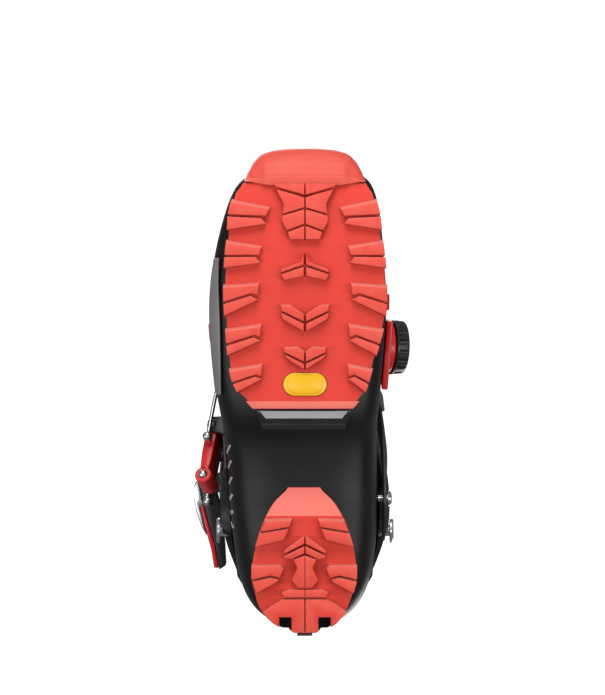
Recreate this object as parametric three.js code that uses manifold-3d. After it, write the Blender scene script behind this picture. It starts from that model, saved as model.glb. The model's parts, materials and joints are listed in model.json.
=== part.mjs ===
// Right alpine touring ski boot. Millimetres, +Z up, toe along -Y, lateral side along -X.
// The origin is on the flat underside of the heel plug, in the standing plane.
import * as THREE from 'three';
import { mergeVertices } from 'three/addons/utils/BufferGeometryUtils.js';
import Module from 'manifold-3d';

const wasm = await Module();
wasm.setup();
const { Manifold, Mesh } = wasm;
const V = (x, y, z) => new THREE.Vector3(x, y, z);

// ---------------------------------------------------------------- driving sizes
const SOLE_LENGTH = 297.5;       // toe bumper tip to the rear of the heel outsole
const FOREFOOT_WIDTH = 100;      // front outsole across its widest lugs
const CUFF_TOP = 290;            // highest point of the cuff, at the back
const LUG_DEPTH = 5;             // front lugs
const HEEL_LUG_DEPTH = 6.5;
const FRONT_SOLE_TOP = 12.5;     // upper face of the front outsole
const HEEL_SOLE_TOP = 22;
const SHELL_WALL = 4.5;
const CUFF_WALL = 4.2;
const FOOT_LINER = 4.5;
const CUFF_LINER = 8.5;
const TONGUE_WALL = 2.2;
const LACE_RADIUS = 0.9;
const PIVOT_BOLT = 3.7;          // radius of the cuff pivot shank
const LEVER_WIDTH = 19;
const ROCKER_RADIUS = 300;       // toe rocker
const GAP = 0.3;                 // between touching pieces
const SLIP = 0.4;                // between pieces that slide past each other

const KX = FOREFOOT_WIDTH / 100;
const KY = SOLE_LENGTH / 297.5;
const KZ = (CUFF_TOP - FRONT_SOLE_TOP) / (290 - 12.5);
const X = (v) => v * KX;
const Y = (v) => v * KY;
const Z = (v) => (v < FRONT_SOLE_TOP ? v : FRONT_SOLE_TOP + (v - 12.5) * KZ);

const PIVOT_Y = Y(-12);
const PIVOT_Z = Z(100);
const ROCKER_START = Y(-170);
const rocker = (y) => (y < ROCKER_START ? (ROCKER_START - y) ** 2 / (2 * ROCKER_RADIUS) : 0);

// ---------------------------------------------------------------- solids
function solid(geometry) {
  const g = geometry.index ? geometry.toNonIndexed() : geometry.clone();
  g.deleteAttribute('normal');
  g.deleteAttribute('uv');
  const m = mergeVertices(g, 1e-4);
  return new Manifold(new Mesh({
    numProp: 3,
    vertProperties: new Float32Array(m.attributes.position.array),
    triVerts: new Uint32Array(m.index.array),
  }));
}

function fromGrid(rows) {
  // rows of points, each row a closed loop; both ends are capped with a fan
  const pos = [];
  const n = rows[0].length;
  const quad = (a, b, c, d) => pos.push(a, b, c, a, c, d);
  for (let i = 0; i + 1 < rows.length; i++) {
    for (let j = 0; j < n; j++) {
      const k = (j + 1) % n;
      quad(rows[i][j], rows[i][k], rows[i + 1][k], rows[i + 1][j]);
    }
  }
  for (const [row, first] of [[rows[0], true], [rows[rows.length - 1], false]]) {
    const c = row.reduce((s, p) => s.add(p), V(0, 0, 0)).multiplyScalar(1 / n);
    for (let j = 0; j < n; j++) {
      const k = (j + 1) % n;
      if (first) pos.push(c, row[k], row[j]);
      else pos.push(c, row[j], row[k]);
    }
  }
  const g = new THREE.BufferGeometry();
  g.setAttribute('position', new THREE.Float32BufferAttribute(pos.flatMap((p) => [p.x, p.y, p.z]), 3));
  const m = solid(g);
  return m.volume() < 0 ? solid(flip(g)) : m;
}

function flip(g) {
  const p = g.attributes.position.array;
  for (let i = 0; i < p.length; i += 9) {
    for (let k = 0; k < 3; k++) [p[i + 3 + k], p[i + 6 + k]] = [p[i + 6 + k], p[i + 3 + k]];
  }
  return g;
}

function warp(geometry, fn) {
  const p = geometry.attributes.position;
  for (let i = 0; i < p.count; i++) {
    const v = fn(V(p.getX(i), p.getY(i), p.getZ(i)));
    p.setXYZ(i, v.x, v.y, v.z);
  }
  return geometry;
}

function extrude(points, depth) {
  const s = new THREE.Shape(points.map(([a, b]) => new THREE.Vector2(a, b)));
  return new THREE.ExtrudeGeometry(s, { depth, bevelEnabled: false, steps: 1 });
}

// outline in (x, y), upwards from z0 to z1
const prismZ = (pts, z0, z1) => solid(extrude(pts, z1 - z0).translate(0, 0, z0));
// outline in (y, z), from x0 to x1
const prismX = (pts, x0, x1) => solid(warp(extrude(pts, x1 - x0), (v) => V(v.z + x0, v.x, v.y)));

// outline in (s, h) of a frame, along its pin axis from w0 to w1
function prismF(f, pts, w0, w1) {
  const g = extrude(pts, w1 - w0).translate(0, 0, w0);
  g.applyMatrix4(new THREE.Matrix4().makeBasis(f.e1, f.e3, f.e2).setPosition(f.p));
  return solid(g);
}

function rod(a, b, r, r2 = r, seg = 12) {
  const g = new THREE.CylinderGeometry(r2, r, a.distanceTo(b), seg);
  const q = new THREE.Quaternion().setFromUnitVectors(V(0, 1, 0), b.clone().sub(a).normalize());
  g.applyQuaternion(q);
  const c = a.clone().add(b).multiplyScalar(0.5);
  return solid(g.translate(c.x, c.y, c.z));
}

function tube(points, r, steps, seg = 8) {
  const path = new THREE.CatmullRomCurve3(points, false, 'centripetal');
  const circle = [];
  for (let i = 0; i < seg; i++) {
    const a = 2 * Math.PI * i / seg;
    circle.push(new THREE.Vector2(r * Math.cos(a), r * Math.sin(a)));
  }
  const shape = new THREE.Shape(circle);
  return solid(new THREE.ExtrudeGeometry(shape, { steps, extrudePath: path, bevelEnabled: false }));
}

const box = (x0, x1, y0, y1, z0, z1) =>
  solid(new THREE.BoxGeometry(x1 - x0, y1 - y0, z1 - z0)
    .translate((x0 + x1) / 2, (y0 + y1) / 2, (z0 + z1) / 2));

const group = new THREE.Group();
function add(name, m, color, roughness = 0.5, metalness = 0) {
  const mesh = m.getMesh();
  const g = new THREE.BufferGeometry();
  g.setAttribute('position', new THREE.BufferAttribute(new Float32Array(mesh.vertProperties), 3));
  g.setIndex(new THREE.BufferAttribute(new Uint32Array(mesh.triVerts), 1));
  g.computeVertexNormals();
  const part = new THREE.Mesh(g, new THREE.MeshStandardMaterial({ color, roughness, metalness }));
  part.name = name;
  group.add(part);
  return m;
}

// ---------------------------------------------------------------- lofted bodies
// A station is a section between a top or front point and a bottom or back point:
// [topY, topZ, bottomY, bottomZ, lateral half width, medial half width,
//  height share of the widest line, squareness above it, squareness below it]
const FIELDS = 9;
function station(table, u) {
  const last = table.length - 1;
  const i = Math.max(0, Math.min(last - 1, Math.floor(u)));
  const t = u - i;
  const out = [];
  for (let k = 0; k < FIELDS; k++) {
    const p1 = table[i][k];
    const p2 = table[i + 1][k];
    const p0 = i > 0 ? table[i - 1][k] : 2 * p1 - p2;
    const p3 = i + 2 <= last ? table[i + 2][k] : 2 * p2 - p1;
    const a = 2 * p1;
    const b = (p2 - p0) * t;
    const c = (2 * p0 - 5 * p1 + 4 * p2 - p3) * t * t;
    const d = (-p0 + 3 * p1 - 3 * p2 + p3) * t * t * t;
    out.push(t < 0 || t > 1 ? p1 + (p2 - p1) * t : 0.5 * (a + b + c + d));
  }
  return out;
}

// angle 0 = top or front, +90 = medial, -90 = lateral, 180 = bottom or back
function surface(table) {
  return (u, deg, off = 0) => {
    const [ty, tz, by, bz, wl, wr, m, nt, nb] = station(table, u);
    const len = Math.hypot(ty - by, tz - bz);
    const dy = (ty - by) / len;
    const dz = (tz - bz) / len;
    const full = len + 2 * off;
    const a = THREE.MathUtils.degToRad(deg);
    const c = Math.cos(a);
    const s = Math.sin(a);
    const e = 2 / (c >= 0 ? nt : nb);
    const w = (s < 0 ? wl : wr) + off;
    const x = Math.sign(s) * w * Math.abs(s) ** e;
    const h = (c >= 0 ? (1 - m) * full * c ** e : -m * full * Math.abs(c) ** e) + m * full - off;
    return V(x, by + dy * h, bz + dz * h);
  };
}

// every loft of one body shares its levels and columns, so offsets stay true between facets
const levels = (a, b) => {
  const out = [a];
  for (let i = Math.floor(a) + 1; i < b; i++) out.push(i);
  return out.concat(b);
};

function loft(surf, us, cols, off) {
  const grid = [];
  for (const u of us) {
    const ring = [];
    for (let j = 0; j < cols; j++) ring.push(surf(u, 360 * (j + 0.5) / cols, off));
    grid.push(ring);
  }
  return fromGrid(grid);
}

// closed sheet lying on a surface between two angles and two offsets
function patch(surf, u0, u1, a0, a1, o0, o1, nu, na) {
  const grid = [];
  const lo = typeof a0 === 'function' ? a0 : () => a0;
  const hi = typeof a1 === 'function' ? a1 : () => a1;
  const us = nu ? Array.from({ length: nu + 1 }, (_, i) => u0 + (u1 - u0) * i / nu) : levels(u0, u1);
  for (const u of us) {
    const t = (u - u0) / (u1 - u0);
    const row = [];
    for (let j = 0; j <= na; j++) row.push(surf(u, lo(t) + (hi(t) - lo(t)) * j / na, o1));
    for (let j = na; j >= 0; j--) row.push(surf(u, lo(t) + (hi(t) - lo(t)) * j / na, o0));
    grid.push(row);
  }
  return fromGrid(grid);
}

function normalAt(surf, u, a, off = 0) {
  const du = surf(u + 0.05, a, off).sub(surf(u - 0.05, a, off));
  const da = surf(u, a + 1, off).sub(surf(u, a - 1, off));
  const n = du.cross(da).normalize();
  const out = surf(u, a, off + 1).sub(surf(u, a, off));
  return n.dot(out) < 0 ? n.negate() : n;
}

// point of a surface at an angle, on a straight side-view line moved sideways by t
function onLine(surf, line, a, off, t) {
  const [y0, z0, dy, dz] = line;
  const side = (p) => -(p.y - y0) * dz + (p.z - z0) * dy - t;
  let lo = line[4];
  let hi = line[5];
  const up = side(surf(hi, a, off)) > side(surf(lo, a, off)) ? 1 : -1;
  for (let i = 0; i < 40; i++) {
    const mid = (lo + hi) / 2;
    if (side(surf(mid, a, off)) * up > 0) hi = mid;
    else lo = mid;
  }
  return surf((lo + hi) / 2, a, off);
}

// flat band following a line on a surface
function band(surf, line, a0, a1, n, o0, o1, half) {
  const grid = [];
  for (let i = 0; i <= n; i++) {
    const a = a0 + (a1 - a0) * i / n;
    grid.push([
      onLine(surf, line, a, o1, -half), onLine(surf, line, a, o1, half),
      onLine(surf, line, a, o0, half), onLine(surf, line, a, o0, -half),
    ]);
  }
  return fromGrid(grid);
}

const row = (ty, tz, by, bz, wl, wr, m, nt, nb) =>
  [Y(ty), Z(tz), Y(by), Z(bz), X(wl), X(wr), m, nt, nb];

const SHELL = [
  row(-242, 46, -240, 23, 27, 27, 0.5, 2.3, 2.6),
  row(-236, 56, -237, 20.5, 38, 38, 0.45, 2.3, 3.0),
  row(-224, 63, -228, 18.6, 45.5, 44, 0.42, 2.3, 3.4),
  row(-206, 69, -208, 15.4, 52, 47.5, 0.4, 2.3, 3.8),
  row(-184, 75, -184, 13.2, 57, 49.5, 0.4, 2.3, 4.0),
  row(-163, 83, -160, 12.8, 59.5, 51, 0.4, 2.3, 4.0),
  row(-143, 92, -134, 12.8, 59, 50, 0.4, 2.3, 4.0),
  row(-126, 102, -106, 12.9, 56.5, 48, 0.4, 2.3, 4.0),
  row(-112, 113, -88, 14.5, 54, 46.5, 0.4, 2.3, 4.0),
  row(-101, 124, -72, 19.5, 51.5, 45.5, 0.42, 2.3, 4.0),
  row(-93, 134, -48, 22.3, 49.5, 45.5, 0.44, 2.4, 4.0),
  row(-87, 142, -20, 22.3, 48, 46, 0.46, 2.4, 4.0),
  row(-83, 148, 6, 22.3, 46.5, 46, 0.48, 2.4, 3.8),
  row(-80, 153, 28, 23, 45, 45, 0.5, 2.4, 3.4),
  row(-78, 157, 41, 32, 44, 44, 0.52, 2.4, 2.9),
  row(-77, 160, 44, 52, 43.5, 43.5, 0.54, 2.4, 2.3),
  row(-76, 163, 42, 78, 44, 44, 0.55, 2.4, 1.95),
  row(-75, 166, 38, 102, 45, 45, 0.56, 2.4, 1.8),
  row(-74, 170, 35, 128, 45, 45, 0.57, 2.4, 1.78),
  row(-74, 176, 34, 150, 45, 45, 0.58, 2.4, 1.78),
];
const SHELL_END = SHELL.length - 1;
const SHELL_COLS = 24;
const CUFF_COLS = 24;
const SEAT = 0.8;                  // trim pieces sit this far off a faceted body
const CUFF = [
  row(-104, 100, 51, 50, 54.5, 54.5, 0.53, 2.2, 1.95),
  row(-105, 122, 51.5, 80, 55, 55, 0.53, 2.2, 1.95),
  row(-107, 142, 51.5, 104, 55, 55, 0.53, 2.2, 1.95),
  row(-109, 161, 47.5, 131, 55, 55, 0.53, 2.2, 2.0),
  row(-112, 182, 38.5, 160, 55, 55, 0.52, 2.2, 2.0),
  row(-116, 205, 28, 192, 55, 55, 0.5, 2.2, 2.1),
  row(-120, 228, 18, 225, 55, 55, 0.5, 2.2, 2.2),
  row(-125, 250, 9, 258, 55, 55, 0.5, 2.2, 2.3),
  row(-130, 272, 3, 290, 55, 55, 0.5, 2.2, 2.3),
  row(-136, 294, -4, 322, 55, 55, 0.5, 2.2, 2.3),
];
const shell = surface(SHELL);
const cuff = surface(CUFF);

// ---------------------------------------------------------------- outsoles
// half widths of the soles: [y, lateral x, medial x]
const FRONT_EDGE = [
  [-232.5, -39, 38.5], [-226, -43.5, 42.5], [-214, -47, 46], [-199, -48, 47.5],
  [-184, -49.4, 49.4], [-165, -50, 50.6], [-148, -49.2, 49.4], [-136, -48.2, 46.5],
  [-121, -47, 42.5], [-111, -45, 39.5],
  [-104, -41.5, 37.2], [-97, -35, 32], [-93.5, -31.5, 29],
];
const HEEL_EDGE = [
  [-44.5, -11, 10], [-36, -19, 18], [-27.5, -24.4, 23.4], [-18, -28, 27], [-9, -30.6, 30],
  [2.4, -32.8, 31.8], [12, -33, 31.6], [20, -31, 29.6], [27, -29, 27], [32, -26, 24.5],
  [36, -22.5, 21], [40, -17, 16.5],
  [43.9, -7, 7],
];
// a slab between two height functions, following an edge table
function slab(edge, low, high, inset = 0) {
  return fromGrid(edge.map(([y, l, r]) => {
    const yy = Y(y);
    const a = X(l) + inset;
    const b = X(r) - inset;
    return [V(a, yy, low(yy)), V(b, yy, low(yy)), V(b, yy, high(yy)), V(a, yy, high(yy))];
  }));
}

// a lug: outline at the ground, a little wider where it leaves the base
function lug(pts, depth, lift, draft = 0.8) {
  const cx = pts.reduce((s, p) => s + p[0], 0) / pts.length;
  const cy = pts.reduce((s, p) => s + p[1], 0) / pts.length;
  const ring = (z, grow) => pts.map(([x, y]) => {
    const d = Math.hypot(x - cx, y - cy);
    const k = 1 + grow / d;
    const px = X(cx + (x - cx) * k);
    const py = Y(cy + (y - cy) * k);
    return V(px, py, z + lift(py));
  });
  return fromGrid([ring(0, 0), ring(depth + 0.6, draft * 1.6)]);
}
const mirror = (pts) => pts.map(([x, y]) => [-x, y]);
const union = (list) => list.reduce((a, b) => a.add(b));

// split side lugs of the front outsole, lateral side: front bar, rear bar
const SIDE_LUGS = [
  [[[-48, -220], [-22, -215.5], [-24, -211.5], [-48, -212.5]],
    [[-48, -211], [-27, -210], [-24.5, -206.5], [-48, -203]]],
  [[[-50, -195], [-27, -191.5], [-28, -187.5], [-50, -187.5]],
    [[-50, -186], [-30.5, -186.3], [-28, -182.5], [-50, -179.5]]],
  [[[-50, -167.5], [-28.5, -168.8], [-29, -163], [-33, -164], [-50, -158.7]],
    [[-50, -157.2], [-33.5, -162.3], [-29, -160], [-50, -150]]],
  [[[-49, -140.7], [-27, -143.7], [-27.5, -137.5], [-31, -138.7], [-49, -133.2]],
    [[-49, -131.7], [-31.5, -137], [-27.5, -135], [-48, -126]]],
  [[[-47, -116.3], [-26.5, -119.3], [-26.7, -113.5], [-30, -114.5], [-46.5, -109.7]],
    [[-46, -108.2], [-30.5, -113], [-26.7, -111.5], [-42, -103.5]]],
];
const CENTRE_LUGS = [
  [[-19.5, -231.5], [-0.4, -231.5], [-0.4, -224.5], [-18, -229.5]],
  [[-17.5, -227.8], [-0.4, -222.8], [-0.4, -216.8], [-13.6, -212.8], [-13, -219]],
  [[-14, -211.4], [-0.4, -215.4], [-0.4, -206.6], [-11, -202.6], [-14, -208]],
  [[-10.4, -201.4], [-0.4, -205.2], [-0.4, -197], [-9, -197]],
  [[-14.5, -178.7], [-3, -182.5], [-0.8, -188], [-0.8, -181.6], [-14.6, -176.8]],
  [[-14.6, -175.4], [-0.8, -180], [-0.8, -174.6], [-12.6, -172]],
  [[-14.5, -156.5], [-9, -156], [-0.8, -151.4], [-0.8, -147], [-14.5, -153.4]],
  [[-14.5, -152], [-0.8, -145.4], [-0.8, -140.8], [-13.6, -148.2]],
  [[-12.4, -130.4], [-5, -130.6], [-0.6, -128], [-0.6, -122.4], [-12.6, -128]],
  [[-12.4, -126.6], [-0.6, -120.8], [-0.6, -117.6], [-11.6, -124.6]],
];
const HEEL_LUGS = [
  [[-24, -24.6], [-8.3, -25.4], [-9.6, -21.5], [-21, -19.5], [-27, -18.6]],
  [[-27.8, -17.2], [-21, -18.2], [-10, -20.2], [-13, -13.6], [-30.4, -9.2]],
  [[-32.6, 2.6], [-15.4, 2.6], [-13.4, 5], [-15.5, 9.4], [-21, 8.2], [-32.6, 10.6]],
  [[-32, 12.2], [-21, 9.8], [-16.4, 11], [-17.4, 12.4], [-29.6, 19]],
  [[-12.4, -7], [-0.4, -15.4], [-0.4, -11.2], [-12.8, -5]],
  [[-12.6, -3.6], [-0.4, -9.6], [-0.4, -5.4], [-8, -1.8], [-12.2, -2.4]],
];
const HEEL_PLUG = [
  [0, -4], [7, -1.5], [4.6, 3.5], [8, 11], [4.4, 15.5], [-4.4, 15.5], [-8, 11], [-4.6, 3.5], [-7, -1.5],
];
const HEEL_PAD = [
  [[-9.5, 16.9], [9.5, 16.9], [14, 18.7], [13.2, 21.4], [-13.2, 21.4], [-14, 18.7]],
  [[-13.5, 22.8], [-0.5, 22.8], [-0.5, 43.2], [-12, 41.8], [-19, 37.8], [-25.6, 31], [-21, 27.6]],
  [[13.5, 22.8], [21, 27.6], [25.6, 31], [19, 37.8], [12, 41.8], [0.5, 43.2], [0.5, 22.8]],
];
const flat = () => 0;

const frontBase = slab(FRONT_EDGE, (y) => rocker(y) + LUG_DEPTH, (y) => rocker(y) + FRONT_SOLE_TOP);
const frontLugs = [];
for (const pair of SIDE_LUGS) {
  for (const bar of pair) frontLugs.push(lug(bar, LUG_DEPTH, rocker), lug(mirror(bar), LUG_DEPTH, rocker));
}
for (const c of CENTRE_LUGS) {
  frontLugs.push(lug(c, LUG_DEPTH, rocker, 0.5), lug(mirror(c), LUG_DEPTH, rocker, 0.5));
}
const frontOutline = slab(FRONT_EDGE, (y) => rocker(y) - 1,
  (y) => rocker(y) + FRONT_SOLE_TOP + 1);
const BADGE = [-108.5, 13.3, 7];     // centre y, half length across, half width
const badgeOutline = (grow) => {
  const pts = [];
  const r = BADGE[2] + grow;
  for (let i = 0; i <= 16; i++) {
    const a = -Math.PI / 2 + Math.PI * i / 16;
    pts.push([X(BADGE[1]) - BADGE[2] + r * Math.cos(a), Y(BADGE[0]) + r * Math.sin(a)]);
  }
  return pts.concat(pts.map(([x, y]) => [-x, 2 * Y(BADGE[0]) - y]));
};
let frontSole = frontBase.add(union(frontLugs).intersect(frontOutline));
frontSole = frontSole.subtract(prismZ(badgeOutline(GAP), 0, LUG_DEPTH + 0.9));
add('front_outsole', frontSole, 0xe8503d, 0.75);
add('sole_badge', prismZ(badgeOutline(0), LUG_DEPTH - 1, LUG_DEPTH + 0.7), 0xf2c40c, 0.5);

const heelLow = (y) => HEEL_LUG_DEPTH + Math.max(0, (Y(-28) - y) * 0.8);
const heelBase = slab(HEEL_EDGE, heelLow, () => HEEL_SOLE_TOP);
const heelLugs = [lug(HEEL_PLUG, HEEL_LUG_DEPTH, flat)];
for (const c of HEEL_LUGS) {
  heelLugs.push(lug(c, HEEL_LUG_DEPTH, flat), lug(mirror(c), HEEL_LUG_DEPTH, flat));
}
for (const c of HEEL_PAD) heelLugs.push(lug(c, HEEL_LUG_DEPTH, flat, 0.4));
const heelOutline = slab(HEEL_EDGE, () => -1, () => HEEL_SOLE_TOP + 1);
const SLOT = [8.4, 15.6, 34];        // inner x, outer x and front of the binding slots in the heel
const slots = box(-X(SLOT[1]), -X(SLOT[0]), Y(SLOT[2]), Y(60), -1, 60)
  .add(box(X(SLOT[0]), X(SLOT[1]), Y(SLOT[2]), Y(60), -1, 60));
const INSERT = [18.5, 33.2, 12];     // half width, front and underside of the heel insert
let heelSole = heelBase.add(union(heelLugs).intersect(heelOutline)).subtract(slots);
heelSole = heelSole.subtract(box(-X(INSERT[0]) - GAP, X(INSERT[0]) + GAP, Y(INSERT[1]) - GAP, Y(60),
  INSERT[2] - GAP, 60));
add('heel_outsole', heelSole, 0xe04838, 0.75);
const insertSlots = box(-X(SLOT[1]) + 1, -X(SLOT[0]) - 1, Y(SLOT[2]) + 1.5, Y(60), 0, 18.5)
  .add(box(X(SLOT[0]) + 1, X(SLOT[1]) - 1, Y(SLOT[2]) + 1.5, Y(60), 0, 18.5));
const screwY = Y(42);
let insert = box(-X(INSERT[0]), X(INSERT[0]), Y(INSERT[1]), screwY, INSERT[2], HEEL_SOLE_TOP);
insert = insert.subtract(insertSlots).intersect(heelOutline);
insert = insert.subtract(rod(V(0, Y(36), 17), V(0, Y(50), 17), 1.9));
add('heel_insert', insert, 0x8d9095, 0.35, 0.9);
add('heel_insert_screw', rod(V(0, Y(36.5), 17), V(0, screwY + 0.3, 17), 1.6)
  .add(rod(V(0, screwY + GAP, 17), V(0, screwY + 1.8, 17), 3.4, 2.6)), 0xc4c6c9, 0.3, 0.9);

// toe bumper: rings from the lower edge up, drawn in plan
const BUMPER = [
  [8.6, 3.5, 0.98], [12, 7.5, 1], [17, 14, 1], [22, 19, 1], [27, 21.5, 1], [33, 22, 1], [39, 19.5, 0.96],
];
const bumperRing = ([z, depth, width]) => {
  const back = Y(-232.8);
  const plan = [
    [-37.5, 0.1], [-35.5, 0.32], [-32.5, 0.58], [-27.5, 0.82], [-20, 0.94], [-10, 0.99], [0, 1],
  ];
  const half = plan.map(([x, d]) => [x * width, d]);
  const all = half.concat(half.slice(0, -1).reverse().map(([x, d]) => [-x, d]));
  const pts = all.map(([x, d]) => V(X(x), back - d * depth * KY, z));
  pts.push(V(X(37.5 * width), back, z), V(X(-37.5 * width), back, z));
  return pts;
};
const TOE_BAR = [Y(-245.5), 25];
let bumper = fromGrid(BUMPER.map(bumperRing));
bumper = bumper.subtract(loft(shell, levels(0, SHELL_END), SHELL_COLS, GAP)).subtract(
  slab(FRONT_EDGE.slice(0, 3).map(([y, l, r], i) => [i ? y : y - GAP, l, r]),
    (y) => rocker(y) + LUG_DEPTH - GAP, (y) => rocker(y) + FRONT_SOLE_TOP + 9));
bumper = bumper.subtract(rod(V(-60, ...TOE_BAR), V(60, ...TOE_BAR), 4.3 + GAP));
const bumperPieces = bumper.decompose().sort((a, b) => b.volume() - a.volume());
add('toe_bumper', bumperPieces[0], 0xf06e5e, 0.7);
const barEnd = X(26);
let toeBar = rod(V(-barEnd, ...TOE_BAR), V(barEnd, ...TOE_BAR), 4.3);
for (const s of [-1, 1]) {
  toeBar = toeBar.subtract(
    rod(V(s * (barEnd - 4), ...TOE_BAR), V(s * (barEnd + 0.5), ...TOE_BAR), 0.4, 3.2));
}
toeBar = toeBar.subtract(loft(shell, levels(0, SHELL_END), SHELL_COLS, GAP));
add('toe_insert', toeBar, 0xb8bbbf, 0.3, 0.9);

// ---------------------------------------------------------------- lower shell
const sideShell = [
  [-290, -20], [80, -20], [80, 122], [-60, 122], [-78, 126], [-96, 134], [-120, 150], [-290, 150],
].map(([y, z]) => [Y(y), Z(z)]);
const soleRoom = slab(FRONT_EDGE, () => -5, (y) => rocker(y) + FRONT_SOLE_TOP + GAP, -2)
  .add(slab(HEEL_EDGE, () => -5, () => HEEL_SOLE_TOP + GAP, -1));
let shellBody = loft(shell, levels(0, SHELL_END), SHELL_COLS, 0).intersect(prismX(sideShell, -90, 90));
shellBody = shellBody.subtract(loft(shell, levels(1, SHELL_END + 0.5), SHELL_COLS, -SHELL_WALL));
shellBody = shellBody.subtract(
  patch(shell, 4.7, SHELL_END, (t) => -24 - 6 * t, (t) => 24 + 6 * t, -9, 4, 9, 5));
shellBody = shellBody.subtract(soleRoom);
for (const s of [-1, 1]) {
  shellBody = shellBody.subtract(
    rod(V(s * 30, PIVOT_Y, PIVOT_Z), V(s * 70, PIVOT_Y, PIVOT_Z), PIVOT_BOLT + SLIP));
}
add('lower_shell', shellBody, 0x26282a, 0.42);

const WINDOW = [[-30, -92.6], [28.5, -92.6], [24.5, -80.5], [-26, -80.5]].map(([x, y]) => [X(x), Y(y)]);
const windowTilt = (y) => Z(10.2) + (y - Y(-92.6)) * 0.16;
add('arch_window', fromGrid([WINDOW.map(([x, y]) => V(x, y, windowTilt(y))),
  WINDOW.map(([x, y]) => V(x, y, windowTilt(y) + 1.6))]), 0x16181a, 0.12);

// instep flap over the throat of the lower shell
add('instep_flap', patch(shell, 4, 10,
  (t) => -34 - 7 * Math.min(1, t * 2), (t) => 34 + 7 * Math.min(1, t * 2),
  SEAT + GAP, SEAT + GAP + TONGUE_WALL, 0, 8), 0x2b2d2f, 0.5);
add('side_panel', patch(shell, 3.9, 7.3, (t) => -124 - 9 * Math.sin(Math.PI * t), -112, SEAT, 2.2, 0, 2),
  0x7d7a7c, 0.45);

// ---------------------------------------------------------------- lace, dial and guides
const LACE_OFF = SEAT + GAP + TONGUE_WALL + LACE_RADIUS + 0.9;
const TURNS = [
  [[6.25, 46], [6.35, 0], [6.3, -46], [6.2, -58], [6.0, -61], [5.8, -58], [5.72, -46]],
  [[5.6, 0], [5.35, 46], [5.25, 58], [5.1, 61], [4.95, 58], [4.88, 46]],
  [[4.75, 0], [4.6, -46], [4.5, -56], [4.35, -59], [4.2, -56], [4.12, -46]],
  [[3.98, 0], [3.85, 30], [3.8, 44]],
];
const stops = TURNS.flat();
const lacePoints = [];
for (let i = 0; i + 1 < stops.length; i++) {
  const n = Math.max(1, Math.round(Math.abs(stops[i + 1][1] - stops[i][1]) / 14));
  for (let k = 0; k < n; k++) {
    const mix = (j) => stops[i][j] + (stops[i + 1][j] - stops[i][j]) * k / n;
    lacePoints.push(shell(mix(0), mix(1), LACE_OFF));
  }
}
lacePoints.push(shell(...stops[stops.length - 1], LACE_OFF));
const laceChannel = tube(lacePoints, LACE_RADIUS + SLIP, 56, 6);
add('lace', tube(lacePoints, LACE_RADIUS, 56, 6), 0x1c1d1f, 0.6);
const guide = (name, u0, u1, a0, a1) => add(name,
  patch(shell, u0, u1, a0, a1, SEAT, LACE_OFF + LACE_RADIUS + 1.6, 4, 4).subtract(laceChannel),
  0xd81820, 0.35);
guide('lace_guide_lateral_rear', 5.72, 6.28, -66, -53);
guide('lace_guide_medial', 4.86, 5.34, 53, 66);
guide('lace_guide_lateral_front', 4.1, 4.6, -64, -51);
guide('lace_anchor', 3.68, 3.92, 36, 50);

const DIAL = [6.35, 74];
const dialNormal = normalAt(shell, ...DIAL);
const dialAt = (h) => shell(...DIAL).add(dialNormal.clone().multiplyScalar(h));
const DIAL_BASE = 5.2;
add('dial_base', patch(shell, 5.55, 7.35, 56, 96, SEAT, DIAL_BASE - 0.8, 6, 4)
  .add(rod(dialAt(2), dialAt(DIAL_BASE + 1), 17, 16, 24))
  .subtract(laceChannel), 0xd63038, 0.35);
let knob = rod(dialAt(DIAL_BASE + 1 + SLIP), dialAt(DIAL_BASE + 10), 17.5, 16.6, 24);
const grips = [];
const dialSide = V(0, 0, 1).cross(dialNormal).normalize();
for (let i = 0; i < 12; i++) {
  const d = dialSide.clone().applyAxisAngle(dialNormal, 2 * Math.PI * i / 12).multiplyScalar(18.2);
  grips.push(rod(dialAt(DIAL_BASE + 2.5).add(d), dialAt(DIAL_BASE + 12).add(d), 1.9, 1.9, 6));
}
knob = knob.subtract(union(grips))
  .subtract(rod(dialAt(DIAL_BASE + 8.6), dialAt(DIAL_BASE + 12), 8.4, 8.4, 20));
add('dial_knob', knob, 0x232527, 0.5);
add('dial_cap', rod(dialAt(DIAL_BASE + 8.6 + GAP), dialAt(DIAL_BASE + 10.6), 8, 7.4, 20),
  0x9a9da1, 0.3, 0.8);

// ---------------------------------------------------------------- cuff
const lobe = [];
for (let i = 0; i <= 10; i++) {
  const a = THREE.MathUtils.degToRad(205 + 13 * i);
  lobe.push([PIVOT_Y + Y(24) * Math.cos(a), PIVOT_Z + Z(24) * Math.sin(a)]);
}
const sideCuff = [[-150, 162], [-104, 154], [-62, 131]].map(([y, z]) => [Y(y), Z(z)]).concat(lobe,
  [[26, 103], [80, 103], [60, 288], [4, 290], [-24, 284], [-52, 264], [-86, 256], [-150, 262]]
    .map(([y, z]) => [Y(y), Z(z)]));
const keepCuff = prismX(sideCuff, -90, 90);
let cuffBody = loft(cuff, levels(0, 9), CUFF_COLS, 0)
  .subtract(loft(cuff, levels(-0.5, 9.5), CUFF_COLS, -CUFF_WALL));
cuffBody = cuffBody.intersect(keepCuff).subtract(patch(cuff, 0, 9, -22, 22, -9, 5, 7, 4));
for (const s of [-1, 1]) {
  cuffBody = cuffBody.subtract(
    rod(V(s * 30, PIVOT_Y, PIVOT_Z), V(s * 70, PIVOT_Y, PIVOT_Z), PIVOT_BOLT + SLIP));
}
add('cuff', cuffBody, 0x2a2c2e, 0.5);
add('cuff_tongue', patch(cuff, 2.75, 8.2, (t) => -44 + 6 * t, (t) => 44 - 6 * t,
  -CUFF_WALL - SEAT - TONGUE_WALL, -CUFF_WALL - SEAT, 0, 8), 0x303234, 0.5);

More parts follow.
